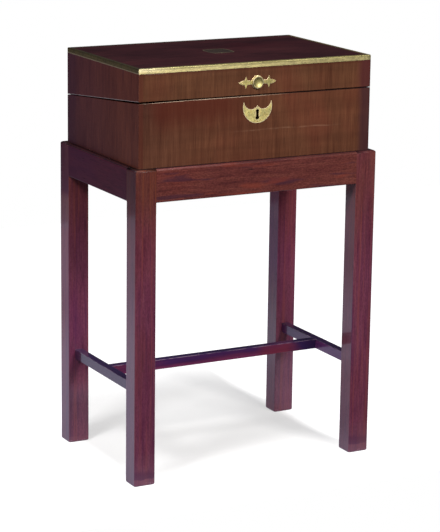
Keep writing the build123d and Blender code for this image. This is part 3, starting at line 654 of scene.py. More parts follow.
    m["leg_dull"] = wood("stand_leg_ledge", "Z", tone(78, 28, 44, K_LEG), tone(106, 48, 58, K_LEG), tone(124, 64, 66, K_LEG),
                         (*tone(116, 50, 46, K_LEG), 0.35), seed=1.3, figure=0.5, pores=0.5, rough=0.55, spec=0.20,
                         coat=0.0, bump=0.10, extra=leg_extra)

    def rail_extra(M, col):
        fleck = M.noise(M.mapped((0.42, 1.0, 1.0), (0.9, 0.3, 0.6)), 620.0, 2.0, 0.6)
        col = M.mul(col, M.ramp(fleck, [(0.36, (0.76, 0.74, 0.74)), (0.64, (1.24, 1.26, 1.26))]))
        q = M.noise(M.mapped((0.10, 1.0, 1.0), (0.3, 0.0, 0.2)), 60.0, 3.0, 0.55, 0.3)
        col = M.mix(M.math("MULTIPLY", M.step(q, 0.56, 0.66), 0.60), col, tone(62, 34, 50, K_LEG))
        r = M.noise(M.mapped((0.16, 1.0, 1.0), (1.3, 0.4, 0.9)), 52.0, 3.0, 0.55, 0.3)
        col = M.mix(M.math("MULTIPLY", M.step(r, 0.56, 0.68), 0.55), col, tone(134, 56, 44, K_LEG))
        return ledge_shade_and_highlight(M, M.mul(col, (0.90, 1.06, 1.06)))

    m["rail_x"] = wood("stand_rail_x", "X", tone(80, 34, 36, K_LEG), tone(106, 50, 46, K_LEG), tone(124, 64, 56, K_LEG),
                       (*tone(116, 48, 42, K_LEG), 0.4), seed=3.4, figure=0.7, pores=0.6, rough=0.30, spec=0.12,
                       coat=0.6, coat_rough=0.10, bump=0.14, extra=rail_extra)
    m["rail_dull"] = wood("stand_rail_ledge", "X", tone(80, 34, 36, K_LEG), tone(106, 50, 46, K_LEG), tone(124, 64, 56, K_LEG),
                          (*tone(116, 48, 42, K_LEG), 0.4), seed=3.4, figure=0.7, pores=0.6, rough=0.55, spec=0.12,
                          coat=0.0, bump=0.14, extra=rail_extra)
    # painted shade: the side rails are a darker, purpler copy of the front and back rails' wood
    m["rail_y"] = wood("stand_rail_y", "Y", tone(52, 18, 34, K_LEG), tone(74, 30, 48, K_LEG), tone(92, 40, 52, K_LEG),
                       (*tone(62, 26, 56, K_LEG), 0.4), seed=4.1, figure=0.8, pores=0.5, rough=0.30, spec=0.12,
                       coat=0.9, coat_rough=0.07, bump=0.10, extra=ledge_shade_and_highlight)
    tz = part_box("stretcher_cross")[1].z

    def top_shade_and_arris_highlight(M, col):
        o = M.xyz()
        z = o["Z"]
        # painted shade: the top face is navy; painted highlight: a pale broken line along its arris
        col = M.mix(M.math("MULTIPLY", M.step(z, tz - 0.0016, tz - 0.0006), 0.80), col, tone(56, 42, 84, K_LEG))
        arris_highlight = M.math("MULTIPLY", M.step(z, tz - 0.0018, tz - 0.0010), M.step(z, tz - 0.0001, tz - 0.0005))
        rub = M.step(M.noise(M.mapped((1, 1, 1)), 50.0, 3.0), 0.36, 0.58)
        return M.mix(M.math("MULTIPLY", M.math("MULTIPLY", arris_highlight, rub), 0.55), col, tone(170, 140, 160, K_LEG))

    def cross_extra(M, col):
        o = M.xyz()
        x, z = o["X"], o["Z"]
        wob = M.math("MULTIPLY_ADD", M.noise(M.mapped((0.25, 1, 1)), 40.0, 3.0), 0.016, z)
        upper = M.step(wob, tz - 0.008, tz + 0.002)
        mid = M.math("MULTIPLY", M.step(x, -0.16, -0.10), M.step(x, 0.20, 0.12))
        col = M.mix(M.math("MULTIPLY", M.math("MULTIPLY", upper, mid), 0.75), col, tone(58, 32, 86, K_LEG))
        low = M.step(wob, tz - 0.004, tz - 0.014)
        col = M.mix(M.math("MULTIPLY", M.math("MULTIPLY", low, M.step(x, 0.14, 0.06)), 0.66), col, tone(136, 56, 100, K_LEG))
        col = M.mix(M.math("MULTIPLY", M.math("MULTIPLY", M.step(x, 0.085, 0.115), M.step(x, 0.185, 0.160)), 0.5), col, tone(122, 44, 50, K_LEG))
        col = M.mix(M.math("MULTIPLY", M.step(M.math("MULTIPLY_ADD", wob, 0.9, x), tz * 0.9 + 0.172, tz * 0.9 + 0.198), 0.85), col, tone(50, 36, 88, K_LEG))
        return top_shade_and_arris_highlight(M, col)

    m["str_x"] = wood("stretcher_x", "X", tone(66, 26, 58, K_LEG), tone(94, 40, 76, K_LEG), tone(120, 54, 74, K_LEG),
                      (*tone(120, 44, 54, K_LEG), 0.4), seed=5.6, figure=0.9, pores=0.5, rough=0.30, spec=0.12,
                      coat=0.9, coat_rough=0.07, bump=0.10, extra=cross_extra)
    # painted shade: the side ties are a darker copy of the cross tie's wood; the right one is then painted far lighter
    # and bluer as a painted reflection of the floor
    m["str_y"] = wood("stretcher_y", "Y", tone(46, 24, 50, K_LEG), tone(64, 36, 68, K_LEG), tone(84, 44, 70, K_LEG),
                      seed=6.6, figure=0.7, pores=0.5, rough=0.30, spec=0.25, coat=1.0, coat_rough=0.07, bump=0.10,
                      extra=lambda M, col: top_shade_and_arris_highlight(M, M.mul(col, M.ramp(M.step(M.xyz()["X"], -0.02, 0.02), [(0.0, (1.0, 1.0, 1.0)), (1.0, (2.25, 1.62, 2.55))]))))
    m["inner"] = wood("inner_mahogany", "X", tone(92, 48, 28), tone(128, 74, 44), tone(150, 92, 58),
                      (*tone(126, 62, 40), 0.4), seed=7.7, figure=0.7, pores=0.6, rough=0.5, spec=0.3, coat=0.0, bump=0.18)
    m["inner_y"] = wood("inner_mahogany_y", "Y", tone(92, 48, 28), tone(128, 74, 44), tone(150, 92, 58),
                        (*tone(126, 62, 40), 0.4), seed=8.7, figure=0.7, pores=0.6, rough=0.5, spec=0.3, coat=0.0, bump=0.18)

    def strip_streaks_and_highlights(M, col):
        # painted highlight along the lower half of its left part, painted shade on the upper half
        o = M.xyz()
        left = M.step(o["X"], 0.09, 0.0)
        col = M.mix(M.math("MULTIPLY", left, M.step(o["Z"], EDGE_TOP - 0.0052, EDGE_TOP - 0.0036)), col, M.mul(col, (0.74, 0.74, 0.72)))
        col = M.mix(M.math("MULTIPLY", left, M.step(o["Z"], EDGE_TOP - 0.0036, EDGE_TOP - 0.0050)), col, M.mul(col, (1.34, 1.35, 1.34)))
        s1 = M.noise(M.mapped((0.018, 1.0, 1.0), (0.2, 0.5, 0.1)), 900.0, 3.0, 0.6)
        col = M.mix(M.step(s1, 0.42, 0.62, 0.0, 0.60), col, (0.56, 0.50, 0.25))
        s2 = M.noise(M.mapped((0.05, 1.0, 1.0), (1.2, 2.5, 0.7)), 420.0, 3.0, 0.6)
        col = M.mix(M.step(s2, 0.55, 0.68, 0.0, 0.55), col, (0.20, 0.15, 0.07))
        # painted shade towards the top face, painted highlight lower down and towards the left end
        col = M.mul(col, M.ramp(M.step(M.xyz()["Z"], EDGE_TOP - 0.0075, EDGE_TOP - 0.0002), [(0.0, (1.35, 1.33, 1.35)), (0.6, (1.12, 1.12, 1.10)), (1.0, (0.72, 0.72, 0.66))]))
        o = M.xyz()
        col = M.mul(col, M.ramp(M.step(o["X"], -0.249, 0.05, smooth=False), [(0.0, (1.25, 1.25, 1.45)), (0.30, (1.15, 1.15, 1.2)), (1.0, (1.0, 1.0, 1.0))]))
        # painted highlight, brightest near the left corner, along the upper half of the face
        rub = M.math("MULTIPLY_ADD", M.noise(M.mapped((1, 0, 0)), 34.0, 2.0), 0.05, o["X"])
        end = M.step(rub, -0.150, -0.225)
        tall = M.ramp(M.step(o["Z"], EDGE_TOP - 0.0095, EDGE_TOP - 0.0005), [(0.0, (0.72, 0.70, 0.68)), (0.35, (1.0, 1.0, 1.0)), (0.62, (1.42, 1.42, 1.62)), (1.0, (1.55, 1.55, 1.85))])
        return M.mix(end, col, M.mul(col, tall))

    m["brass"] = brass("brass_front", (0.42, 0.37, 0.17), (0.30, 0.26, 0.11), (0.18, 0.13, 0.06), rough=0.44, seed=0.2, colour_overlay=strip_streaks_and_highlights)
    def side_strip_shade(M, col):
        o = M.xyz()
        line = M.math("MULTIPLY_ADD", M.noise(M.mapped((1, 1, 1)), 120.0, 2.0), 0.0010, o["Z"])
        st = M.noise(M.mapped((1.0, 0.03, 1.0), (0.2, 0.5, 0.1)), 700.0, 3.0, 0.6)
        col = M.mix(M.step(st, 0.50, 0.66, 0.0, 0.5), col, tone(52, 46, 30))
        # painted shade on the left strip: nearly black on the top, olive on the side; a pale line along the lower edge
        left = M.step(o["X"], 0.0, -0.01)
        left_strip_shade = M.ramp(M.step(o["Z"], EDGE_TOP - 0.0030, EDGE_TOP - 0.0004), [(0.0, (0.66, 0.64, 0.66)), (1.0, (0.30, 0.30, 0.30))])
        col = M.mix(left, col, M.mul(col, left_strip_shade))
        return M.mix(M.math("MULTIPLY", M.step(line, EDGE_LOW + 0.0030, EDGE_LOW + 0.0018), 0.8), col, tone(142, 126, 104))

    # painted shade: the side and back strips are darker copies of the front strip's brass
    m["brass_side"] = brass("brass_side", tone(112, 100, 66), tone(78, 68, 46), tone(52, 44, 28), rough=0.40, seed=1.2, patch=0.8, dents=0.2, colour_overlay=side_strip_shade, metal=0.55)
    m["brass_back"] = brass("brass_back", tone(58, 50, 42), tone(44, 36, 32), tone(36, 30, 24), rough=0.46, seed=1.7, patch=0.8, dents=0.2, metal=0.7)

    def crescent_rim_highlight(M, col):
        """painted highlight: pale along the crescent's own edges and round the keyhole"""
        o = M.xyz()
        ax, z = M.math("ABSOLUTE", o["X"]), M.math("SUBTRACT", o["Z"], LZ)

        def dist(c, squash=1.0):
            dx, dz = M.math("SUBTRACT", ax, c[0]), M.math("MULTIPLY", M.math("SUBTRACT", z, c[1]), squash)
            return M.math("SQRT", M.math("ADD", M.math("MULTIPLY", dx, dx), M.math("MULTIPLY", dz, dz)))
        wave = M.math("MULTIPLY", M.noise(M.mapped((1, 1, 1), (0.7, 0.2, 0.4)), 180.0, 2.0), 0.0009)
        outer = M.math("SUBTRACT", ESC_OUT[2], dist(ESC_OUT))
        horn = M.math("ADD", M.math("SUBTRACT", dist(ESC_HORN), ESC_HORN[2]), M.step(ax, 0.0137, 0.0133, 0.0, 1.0))
        heel = M.math("ADD", M.math("SUBTRACT", dist(ESC_HEEL), ESC_HEEL[2]), M.step(ax, 0.0133, 0.0137, 0.0, 1.0))
        d = M.math("SUBTRACT", M.math("MINIMUM", outer, M.math("MINIMUM", horn, heel)), wave)
        rim = M.step(d, 0.0011, 0.0004)
        hole = dist((0.0, KEY_Z - LZ), 0.42)
        rim = M.math("MAXIMUM", rim, M.math("MULTIPLY", M.step(M.math("SUBTRACT", hole, wave), 0.0058, 0.0046), 0.45))
        return M.mix(M.math("MULTIPLY", rim, 0.85), col, (0.92, 0.78, 0.50))

    def mottle(left, rim=None):
        def colour_overlay(M, col):
            v = M.mapped((1, 1, 1), (0.3, 0.1, 0.7))
            n = M.noise(v, 330.0, 3.0, 0.6)
            col = M.mul(col, M.ramp(n, [(0.30, (0.72, 0.72, 0.62)), (0.50, (1.0, 1.0, 1.0)), (0.70, (1.26, 1.22, 1.18))]))
            warm = M.step(M.noise(M.mapped((1, 1, 1), (1.3, 2.1, 0.2)), 210.0, 2.0, 0.5), 0.54, 0.66)
            col = M.mix(M.math("MULTIPLY", warm, 0.45), col, M.mul(col, (1.22, 1.0, 0.86)))
            # painted light: the left half is made lighter by the factor left
            col = M.mul(col, M.ramp(M.step(M.xyz()["X"], -0.02, 0.01), [(0.0, (left, left, left)), (1.0, (1.0, 1.0, 1.0))]))
            return rim(M, col) if rim else col
        return colour_overlay

    def boss_ring_highlight(M, col):
        o = M.xyz()
        dx, dz = M.math("SUBTRACT", o["X"], BOSS.x), M.math("SUBTRACT", o["Z"], BOSS.z)
        r = M.math("SQRT", M.math("ADD", M.math("MULTIPLY", dx, dx), M.math("MULTIPLY", dz, dz)))
        # painted highlight: a pale ring at the boss's edge, with painted shade just inside it
        ring = M.math("MULTIPLY", M.step(r, BOSS_R - 0.0024, BOSS_R - 0.0018), M.step(r, BOSS_R + 0.0002, BOSS_R - 0.0002))
        inner = M.math("MULTIPLY", M.step(r, BOSS_R - 0.0046, BOSS_R - 0.0036), M.step(r, BOSS_R - 0.0022, BOSS_R - 0.0028))
        col = M.mix(M.math("MULTIPLY", inner, 0.45), col, M.mul(col, (0.55, 0.52, 0.45)))
        return M.mix(M.math("MULTIPLY", ring, 0.75), col, (0.66, 0.56, 0.34))

    m["brass_fit"] = brass("brass_fittings", (0.70, 0.63, 0.27), (0.62, 0.55, 0.21), (0.36, 0.29, 0.11), rough=0.50, seed=2.2, patch=0.35, dents=0.03, scratches=0.4, colour_overlay=mottle(1.06, crescent_rim_highlight))
    m["brass_plate"] = brass("brass_finger_plate", (0.53, 0.47, 0.19), (0.47, 0.41, 0.16), (0.28, 0.22, 0.08), rough=0.48, seed=2.5, patch=0.35, dents=0.03, scratches=0.4, colour_overlay=mottle(1.22))
    m["brass_boss"] = brass("brass_boss", (0.44, 0.39, 0.165), (0.38, 0.33, 0.13), (0.22, 0.17, 0.07), rough=0.44, seed=2.8, patch=0.45, dents=0.03, scratches=0.3, colour_overlay=boss_ring_highlight)
    # painted highlight: pale brass for the finger plate's narrow rim
    m["brass_rub"] = brass("brass_rubbed_rim", (0.90, 0.74, 0.46), (0.74, 0.62, 0.38), (0.50, 0.40, 0.22), rough=0.46, seed=5.2, patch=0.6, dents=0.03, scratches=0.4)
    m["brass_dark"] = brass("brass_shield", tone(92, 80, 70), tone(66, 56, 48), tone(48, 40, 34), rough=0.42, seed=3.2, patch=0.8, dents=0.1)
    # painted highlight: the shield's rim is paler than its field
    m["brass_rim"] = brass("brass_shield_rim", tone(168, 162, 128), tone(112, 106, 84), tone(70, 62, 50), rough=0.40, seed=3.9, patch=0.7, dents=0.1)

    def keyhole_shade(M, col):
        o = M.xyz()
        # painted shade on the lock case round the keyhole
        dx, dz = M.math("SUBTRACT", o["X"], KEY_X), M.math("MULTIPLY", M.math("SUBTRACT", o["Z"], KEY_Z), 0.55)
        r = M.math("SQRT", M.math("ADD", M.math("MULTIPLY", dx, dx), M.math("MULTIPLY", dz, dz)))
        near = M.math("MULTIPLY", M.step(r, 0.0105, 0.0085), M.step(o["Y"], -HY + 0.0105, -HY + 0.0095))
        return M.mix(M.math("MULTIPLY", near, M.step(o["Y"], -HY + 0.0012, -HY + 0.0016)), col, (0.006, 0.005, 0.004))

    m["brass_in"] = brass("brass_inside", tone(212, 180, 104), tone(168, 136, 72), tone(110, 84, 40), rough=0.30, seed=4.2, dents=0.2, colour_overlay=keyhole_shade)
    m["steel"] = plain("screw_steel", (0.42, 0.40, 0.38), (0.25, 0.23, 0.21), 600.0, 0.38, metal=1.0)

    def leather(name, y0, y1):
        M = Mat(name)
        v = M.mapped((1, 1, 1))
        vor = M.n("ShaderNodeTexVoronoi", feature="DISTANCE_TO_EDGE")
        M.put(vor.inputs["Vector"], v)
        vor.inputs["Scale"].default_value = 900.0
        cell = M.step(vor.outputs["Distance"], 0.0, 0.35)
        worn = M.noise(v, 9.0, 4.0, 0.6)
        base = M.mix(M.step(worn, 0.38, 0.66), tone(24, 50, 36), tone(44, 72, 50))
        base = M.mix(M.math("MULTIPLY", M.step(M.noise(v, 60.0, 3.0), 0.58, 0.7), 0.35), base, tone(70, 84, 58))
        o = M.xyz()
        ax = M.math("ABSOLUTE", o["X"])
        cy, hy = (y0 + y1) / 2, (y1 - y0) / 2
        ay = M.math("ABSOLUTE", M.math("SUBTRACT", o["Y"], cy))
        # distance in from the sheet's own edge
        d = M.math("MINIMUM", M.math("SUBTRACT", 0.2352, ax), M.math("SUBTRACT", hy, ay))

        def line(at, w):
            return M.math("MULTIPLY", M.step(d, at - w, at - w * 0.5), M.step(d, at + w, at + w * 0.5))
        gilt = M.math("MAXIMUM", line(0.012, 0.0010), line(0.0155, 0.0005))
        rub = M.step(M.noise(v, 120.0, 3.0, 0.6), 0.34, 0.50)
        g = M.math("MULTIPLY", gilt, rub)
        M.set(Base_Color=M.mix(g, base, tone(196, 160, 84)), Metallic=M.math("MULTIPLY", g, 0.8),
              Roughness=M.math("MULTIPLY_ADD", worn, 0.2, 0.42))
        M.b.inputs["Specular IOR Level"].default_value = 0.35
        n1 = M.bump(cell, 0.25, 0.0003)
        M.set(Normal=M.bump(M.math("MULTIPLY", gilt, -1.0), 0.5, 0.0003, n1))
        return M.m

    bl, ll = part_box("base_leather"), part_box("lid_leather")
    m["leather_base"] = leather("leather_base", bl[0].y, bl[1].y)
    m["leather_lid"] = leather("leather_lid", ll[0].y, ll[1].y)

    C = Mat("hinge_cloth")
    v = C.mapped((1, 1, 1))
    w1 = C.n("ShaderNodeTexWave", wave_type="BANDS", bands_direction="X")
    C.put(w1.inputs["Vector"], v)
    w1.inputs["Scale"].default_value = 380.0
    w2 = C.n("ShaderNodeTexWave", wave_type="BANDS", bands_direction="Y")
    C.put(w2.inputs["Vector"], v)
    w2.inputs["Scale"].default_value = 380.0
    wv = C.math("MULTIPLY", w1.outputs["Fac"], w2.outputs["Fac"])
    C.set(Base_Color=C.mix(wv, tone(26, 44, 34), tone(52, 74, 54)), Roughness=C.math("MULTIPLY_ADD", wv, 0.1, 0.75))
    C.set(Normal=C.bump(wv, 0.4, 0.0003))
    m["cloth"] = C.m

    G = Mat("ink_glass")
    v = G.mapped((1, 1, 1))
    f = G.noise(v, 70.0, 2.0)
    G.set(Base_Color=G.mix(f, (0.86, 0.95, 0.90), (0.94, 0.98, 0.96)), Roughness=G.math("MULTIPLY_ADD", f, 0.04, 0.02))
    G.b.inputs["Transmission Weight"].default_value = 1.0
    G.b.inputs["IOR"].default_value = 1.5
    G.set(Normal=G.bump(f, 0.08, 0.0006))
    m["glass"] = G.m
    return m


MATS = build_materials()


# ------------------------------------------------------------------ rounded envelopes
def rounded_box(lo, hi, r, segs=4):
    bm = bmesh.new()
    add_block(bm, lo, hi)
    ob = raw_object("env", bm)
    apply_bevel(ob, r, segs, 30)
    return to_bm(ob)


def post_env(x0, x1, y0, y1, z0, z1, r, foot, outer, segs=4):
    """square post with rounded arrises and an eased foot; at rail height only the outer arris is rounded"""
    corners = ((x1, y0, -90), (x1, y1, 0), (x0, y1, 90), (x0, y0, 180))

    def ring(inset, z, high):
        pts = []
        for cx, cy, a0 in corners:
            rr = r if (not high or (cx, cy) == outer) else 0.00015
            rr = rr + inset * 1.1
            mx = cx + (rr + inset if cx == x0 else -rr - inset)
            my = cy + (rr + inset if cy == y0 else -rr - inset)
            for k in range(segs + 1):
                a = math.radians(a0 + 90 * k / segs)
                pts.append((mx + rr * math.cos(a), my + rr * math.sin(a), z))
        return pts
    n = 4
    levels = [(foot * (1 - math.sin(math.pi / 2 * k / n)), z0 + foot * (1 - math.cos(math.pi / 2 * k / n)), False) for k in range(n + 1)]
    levels += [(0.0, RAIL_BOT - 0.0012, False), (0.0, RAIL_BOT - 0.0002, True), (0.0, z1, True)]
    bm = bmesh.new()
    rings = [[bm.verts.new(p) for p in ring(*lv)] for lv in levels]
    bm.faces.new(rings[0][::-1])
    bm.faces.new(rings[-1])
    for a, b in zip(rings, rings[1:]):
        for i in range(len(a)):
            j = (i + 1) % len(a)
            bm.faces.new((a[i], a[j], b[j], b[i]))
    bmesh.ops.recalc_face_normals(bm, faces=bm.faces)
    return bm


def weighted(ob):
    md = ob.modifiers.new("w", "WEIGHTED_NORMAL")
    md.mode, md.weight, md.keep_sharp = "FACE_AREA", 60, True
    return bake_modifiers(ob)


def cad_in(node, env_bm, name, mat, bevel=0.0, dissolve=True, body=None, post=None):
    """the CAD node's own shape, trimmed by an envelope with rounded arrises"""
    src = NODES[node]
    bm = bmesh.new()
    bm.from_mesh(src.data)
    bmesh.ops.remove_doubles(bm, verts=bm.verts, dist=2e-6)
    ob = raw_object(name, bm)
    boolean(ob, env_bm, "INTERSECT")
    bm = bmesh.new()
    bm.from_mesh(ob.data)
    bmesh.ops.remove_doubles(bm, verts=bm.verts, dist=2e-6)
    if dissolve:
        bmesh.ops.dissolve_limit(bm, angle_limit=math.radians(0.6), verts=bm.verts, edges=bm.edges)
    if post:
        post(bm)
    bm.to_mesh(ob.data)
    bm.free()
    if bevel > 0:
        apply_bevel(ob, bevel, 2, 50)
    ob.data.materials.clear()
    for one in (mat if isinstance(mat, tuple) else (mat,)):
        ob.data.materials.append(one)
    if isinstance(mat, tuple):
        # the ledge round the box and its arrises have lost their polish
        for f in ob.data.polygons:
            f.material_index = 1 if f.center.z > RAIL_TOP - 0.0034 and f.normal.z > 0.12 else 0
    ob.data.shade_smooth()
    ob.data.set_sharp_from_angle(angle=math.radians(50))
    weighted(ob)
    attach(ob, body or src["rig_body"])
    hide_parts(node)
    return ob


# ------------------------------------------------------------------ stand
for nm in ("front_left", "front_right", "back_left", "back_right"):
    a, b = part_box("leg_" + nm)
    outer = (b.x if "right" in nm else a.x, b.y if "back" in nm else a.y)
    cad_in("leg_" + nm, post_env(a.x, b.x, a.y, b.y, a.z, b.z + 0.001, 0.0016, 0.0030, outer), "post_" + nm,
           (MATS["leg" if "front" in nm else "leg_back"], MATS["leg_dull"]))
for nm, mat in (("front", "rail_x"), ("back", "rail_x"), ("left", "rail_y"), ("right", "rail_y")):
    a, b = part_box("rail_" + nm)
    lo, hi = a.copy(), b.copy()
    if nm in ("front", "back"):
        lo.x -= 0.02
        hi.x += 0.02
    else:
        lo.y -= 0.02
        hi.y += 0.02
    hi.z += 0.02
    cad_in("rail_" + nm, rounded_box(lo, hi, 0.0013), "frieze_" + nm, (MATS[mat], MATS["rail_dull"]))
for nm, mat in (("stretcher_left", "str_y"), ("stretcher_right", "str_y"), ("stretcher_cross", "str_x")):
    a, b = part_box(nm)
    lo, hi = a.copy(), b.copy()
    if nm == "stretcher_cross":
        lo.x -= 0.02
        hi.x += 0.02
    else:
        lo.y -= 0.02
        hi.y += 0.02
    cad_in(nm, rounded_box(lo, hi, 0.0012), nm.replace("stretcher", "tie"), MATS[mat])


# ------------------------------------------------------------------ box walls
def box_env(lower):
    """the whole base or lid with eased arrises"""
    bm = bmesh.new()
    if lower:
        prof = [(-HY, SEAT), (HY, SEAT), (HY, SPLIT_B - GAP), (-HY, SPLIT_F - GAP)]
    else:
        prof = [(-HY, SPLIT_F + GAP), (HY, SPLIT_B + GAP), (HY, LID_TOP + 0.01), (-HY, LID_TOP + 0.01)]
    add_prism(bm, [(-HX, y, z) for y, z in prof], (2 * HX, 0, 0))
    ob = raw_object("env", bm)
    apply_bevel(ob, 0.0006, 4, 20)
    return to_bm(ob)


def eased_rim(lower):
    """the old rims no longer meet at the front left corner"""
    def post(bm):
        for k in range(8):
            t = 0.205 * k / 7 + 0.004
            for co, no in (((-HX + t, 0, 0), (1, 0, 0)), ((0, -HY + t * 1.5, 0), (0, 1, 0))):
                bmesh.ops.bisect_plane(bm, geom=bm.verts[:] + bm.edges[:] + bm.faces[:], plane_co=co, plane_no=no)
        for v in bm.verts:
            h = (cut_z(v.co.y) - GAP - v.co.z) if lower else (v.co.z - cut_z(v.co.y) - GAP)
            if h < 0.0016:
                fx = max(0.0, 1 - (v.co.x + HX) / 0.209)
                fy = max(0.30, 1 - (v.co.y + HY) / 0.40)
                w = (0.0016 if lower else 0.0011) * fx ** 1.3 * fy
                v.co.z += -w if lower else w
    return post


for part in ("base", "lid"):
    for s in ("front", "back", "left", "right"):
        cad_in(part + "_" + s, box_env(part == "base"), part + "_wall_" + s, MATS["front" if s == "front" else "side"],
               post=eased_rim(part == "base") if s in ("front", "left") else None)

NODES["lid_top"].data.materials.clear()
NODES["lid_top"].data.materials.append(MATS["top"])


# ------------------------------------------------------------------ brass angle round the top
def brass_strip(side):
    P, T, S, F, R = 0.6 * MM, 1.5 * MM, 10.0 * MM, 8.0 * MM, 1.9 * MM
    top = EDGE_TOP
    prof = [(P - T, top - S + 0.1 * MM), (P - 0.35 * MM, top - S), (P, top - S + 0.35 * MM)]
    for k in range(7):
        a = math.radians(90 * k / 6)
        prof.append((P - R + R * math.cos(a), top - R + R * math.sin(a)))
    prof += [(P - F + 0.3 * MM, top), (P - F, top - 0.3 * MM), (P - F, top - T), (P - T, top - T)]
    # u runs along the side, o outwards
    along, half, out = {"front": ("x", HX, (0, -1)), "back": ("x", HX, (0, 1)), "left": ("y", HY, (-1, 0)), "right": ("y", HY, (1, 0))}[side]
    depth = HY if along == "x" else HX
    n = 150 if along == "x" else 100
    seed = {"front": 3.1, "back": 7.7, "left": 12.9, "right": 19.3}[side]
    bm = bmesh.new()
    rings = []
    for i in range(n + 1):
        t = i / n * 2 - 1
        ring = []
        for j, (o, z) in enumerate(prof):
            u = t * (half + o)
            w = noise.noise(Vector((u * 34.0, seed, 0))) * 0.30 + noise.noise(Vector((u * 130.0, seed, 4))) * 0.18
            d = noise.noise(Vector((u * 60.0, z * 90.0, seed + 9)))
            zz, oo = z, o
            if j <= 2:
                zz += w * MM * 0.8
            if 3 <= j <= 9 or j == 2:
                oo -= (0.05 + 0.10 * max(0, d)) * MM
            if j in (9, 10):
                zz -= (0.04 + 0.08 * max(0, d)) * MM
            if along == "x":
                p = (u, out[1] * (depth + oo), zz)
            else:
                p = (out[0] * (depth + oo), u, zz)
            # the corners are filed round
            rc = 2.8 * MM
            vx, vy = abs(p[0]) - (HX + P - rc), abs(p[1]) - (HY + P - rc)
            if vx > 0 and vy > 0:
                k = max(vx, vy) / math.hypot(vx, vy)
                p = (math.copysign(HX + P - rc + vx * k, p[0]), math.copysign(HY + P - rc + vy * k, p[1]), p[2])
            ring.append(bm.verts.new(p))
        rings.append(ring)
    m = len(prof)
    for a, b in zip(rings, rings[1:]):
        for j in range(m):
            k = (j + 1) % m
            bm.faces.new((a[j], a[k], b[k], b[j]))
    bm.faces.new(rings[0])
    bm.faces.new(rings[-1][::-1])
    mat = MATS[{"front": "brass", "back": "brass_back"}.get(side, "brass_side")]
    return finish_mesh("brass_angle_" + side, bm, mat, "lid", ["edge_" + side], smooth=28)


for s in ("front", "back", "left", "right"):
    brass_strip(s)


# ------------------------------------------------------------------ brass fittings
def plate_with_rim_highlight(name, node, mat, rim):
    """flat front plate: its arris and a narrow rim, painted pale as a highlight, are a ring of their own round the face
    """
    src = NODES[node]
    bm = bmesh.new()
    bm.from_mesh(src.data)
    bmesh.ops.remove_doubles(bm, verts=bm.verts, dist=2e-6)
    bmesh.ops.dissolve_limit(bm, angle_limit=math.radians(1.0), verts=bm.verts, edges=bm.edges)
    front = min(v.co.y for v in bm.verts)
    face = [f for f in bm.faces if f.normal.y < -0.9 and abs(f.calc_center_median().y - front) < 1e-5]
    for f in bm.faces:
        f.material_index = 1
    bmesh.ops.inset_region(bm, faces=face, thickness=rim, use_even_offset=False)
    for f in face:
        f.material_index = 0
    return weighted(finish_mesh(name, bm, [MATS[mat], MATS["brass_rub"]], src["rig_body"], [node], 0.00022, 2, 50, 40))


weighted(from_cad("key_plate", "escutcheon", MATS["brass_fit"], bevel=0.00032, segs=2, smooth=50, limit=40))
plate_with_rim_highlight("thumb_plate", "finger_plate", "brass_plate", 0.00060)
weighted(from_cad("thumb_boss", "finger_boss", MATS["brass_boss"], smooth=50, limit=40))


def shield():
    """vacant shield: the rim is its own ring of faces, a little proud of the field, and painted pale as a highlight"""
    src = NODES["shield_plate"]
    bm = bmesh.new()
    bm.from_mesh(src.data)
    bmesh.ops.remove_doubles(bm, verts=bm.verts, dist=2e-6)
    bmesh.ops.dissolve_limit(bm, angle_limit=math.radians(0.5), verts=bm.verts, edges=bm.edges)
    top = max(v.co.z for v in bm.verts)
    face = [f for f in bm.faces if f.normal.z > 0.9 and abs(f.calc_center_median().z - top) < 1e-5]
    for f in bm.faces:
        f.material_index = 1
    bmesh.ops.inset_region(bm, faces=face, thickness=0.0012, use_even_offset=True)
    bmesh.ops.inset_region(bm, faces=face, thickness=0.0003, depth=-0.00006, use_even_offset=True)
    for f in face:
        f.material_index = 0
    return finish_mesh("cartouche", bm, [MATS["brass_dark"], MATS["brass_rim"]], src["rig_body"], ["shield_plate"], smooth=30)


shield()

# ------------------------------------------------------------------ inside: eased arrises
for nm, new, mat, bev in (("pen_tray", "tray_scooped", "inner", 0.0009), ("partition", "partition_wall", "inner", 0.0005),
                          ("tray_dividers", "well_walls", "inner_y", 0.0005), ("base_board", "slope_board_base", "inner", 0.0006),
                          ("lid_board", "slope_board_lid", "inner", 0.0006)):
    weighted(from_cad(new, nm, MATS[mat], bevel=bev, segs=2, smooth=50, limit=40))
for nm, new, mat, slot, bev in (("ink_bottle_left", "inkwell_left", "glass", "glass", 0.0006), ("ink_bottle_right", "inkwell_right", "glass", "glass", 0.0006),
                                ("ink_caps", "inkwell_caps", "brass_in", "brass", 0.0007), ("boss_nut", "boss_backnut", "steel", "steel", 0.0004)):
    weighted(from_cad(new, nm, MATS[mat], bevel=bev, segs=2, smooth=50, limit=40))


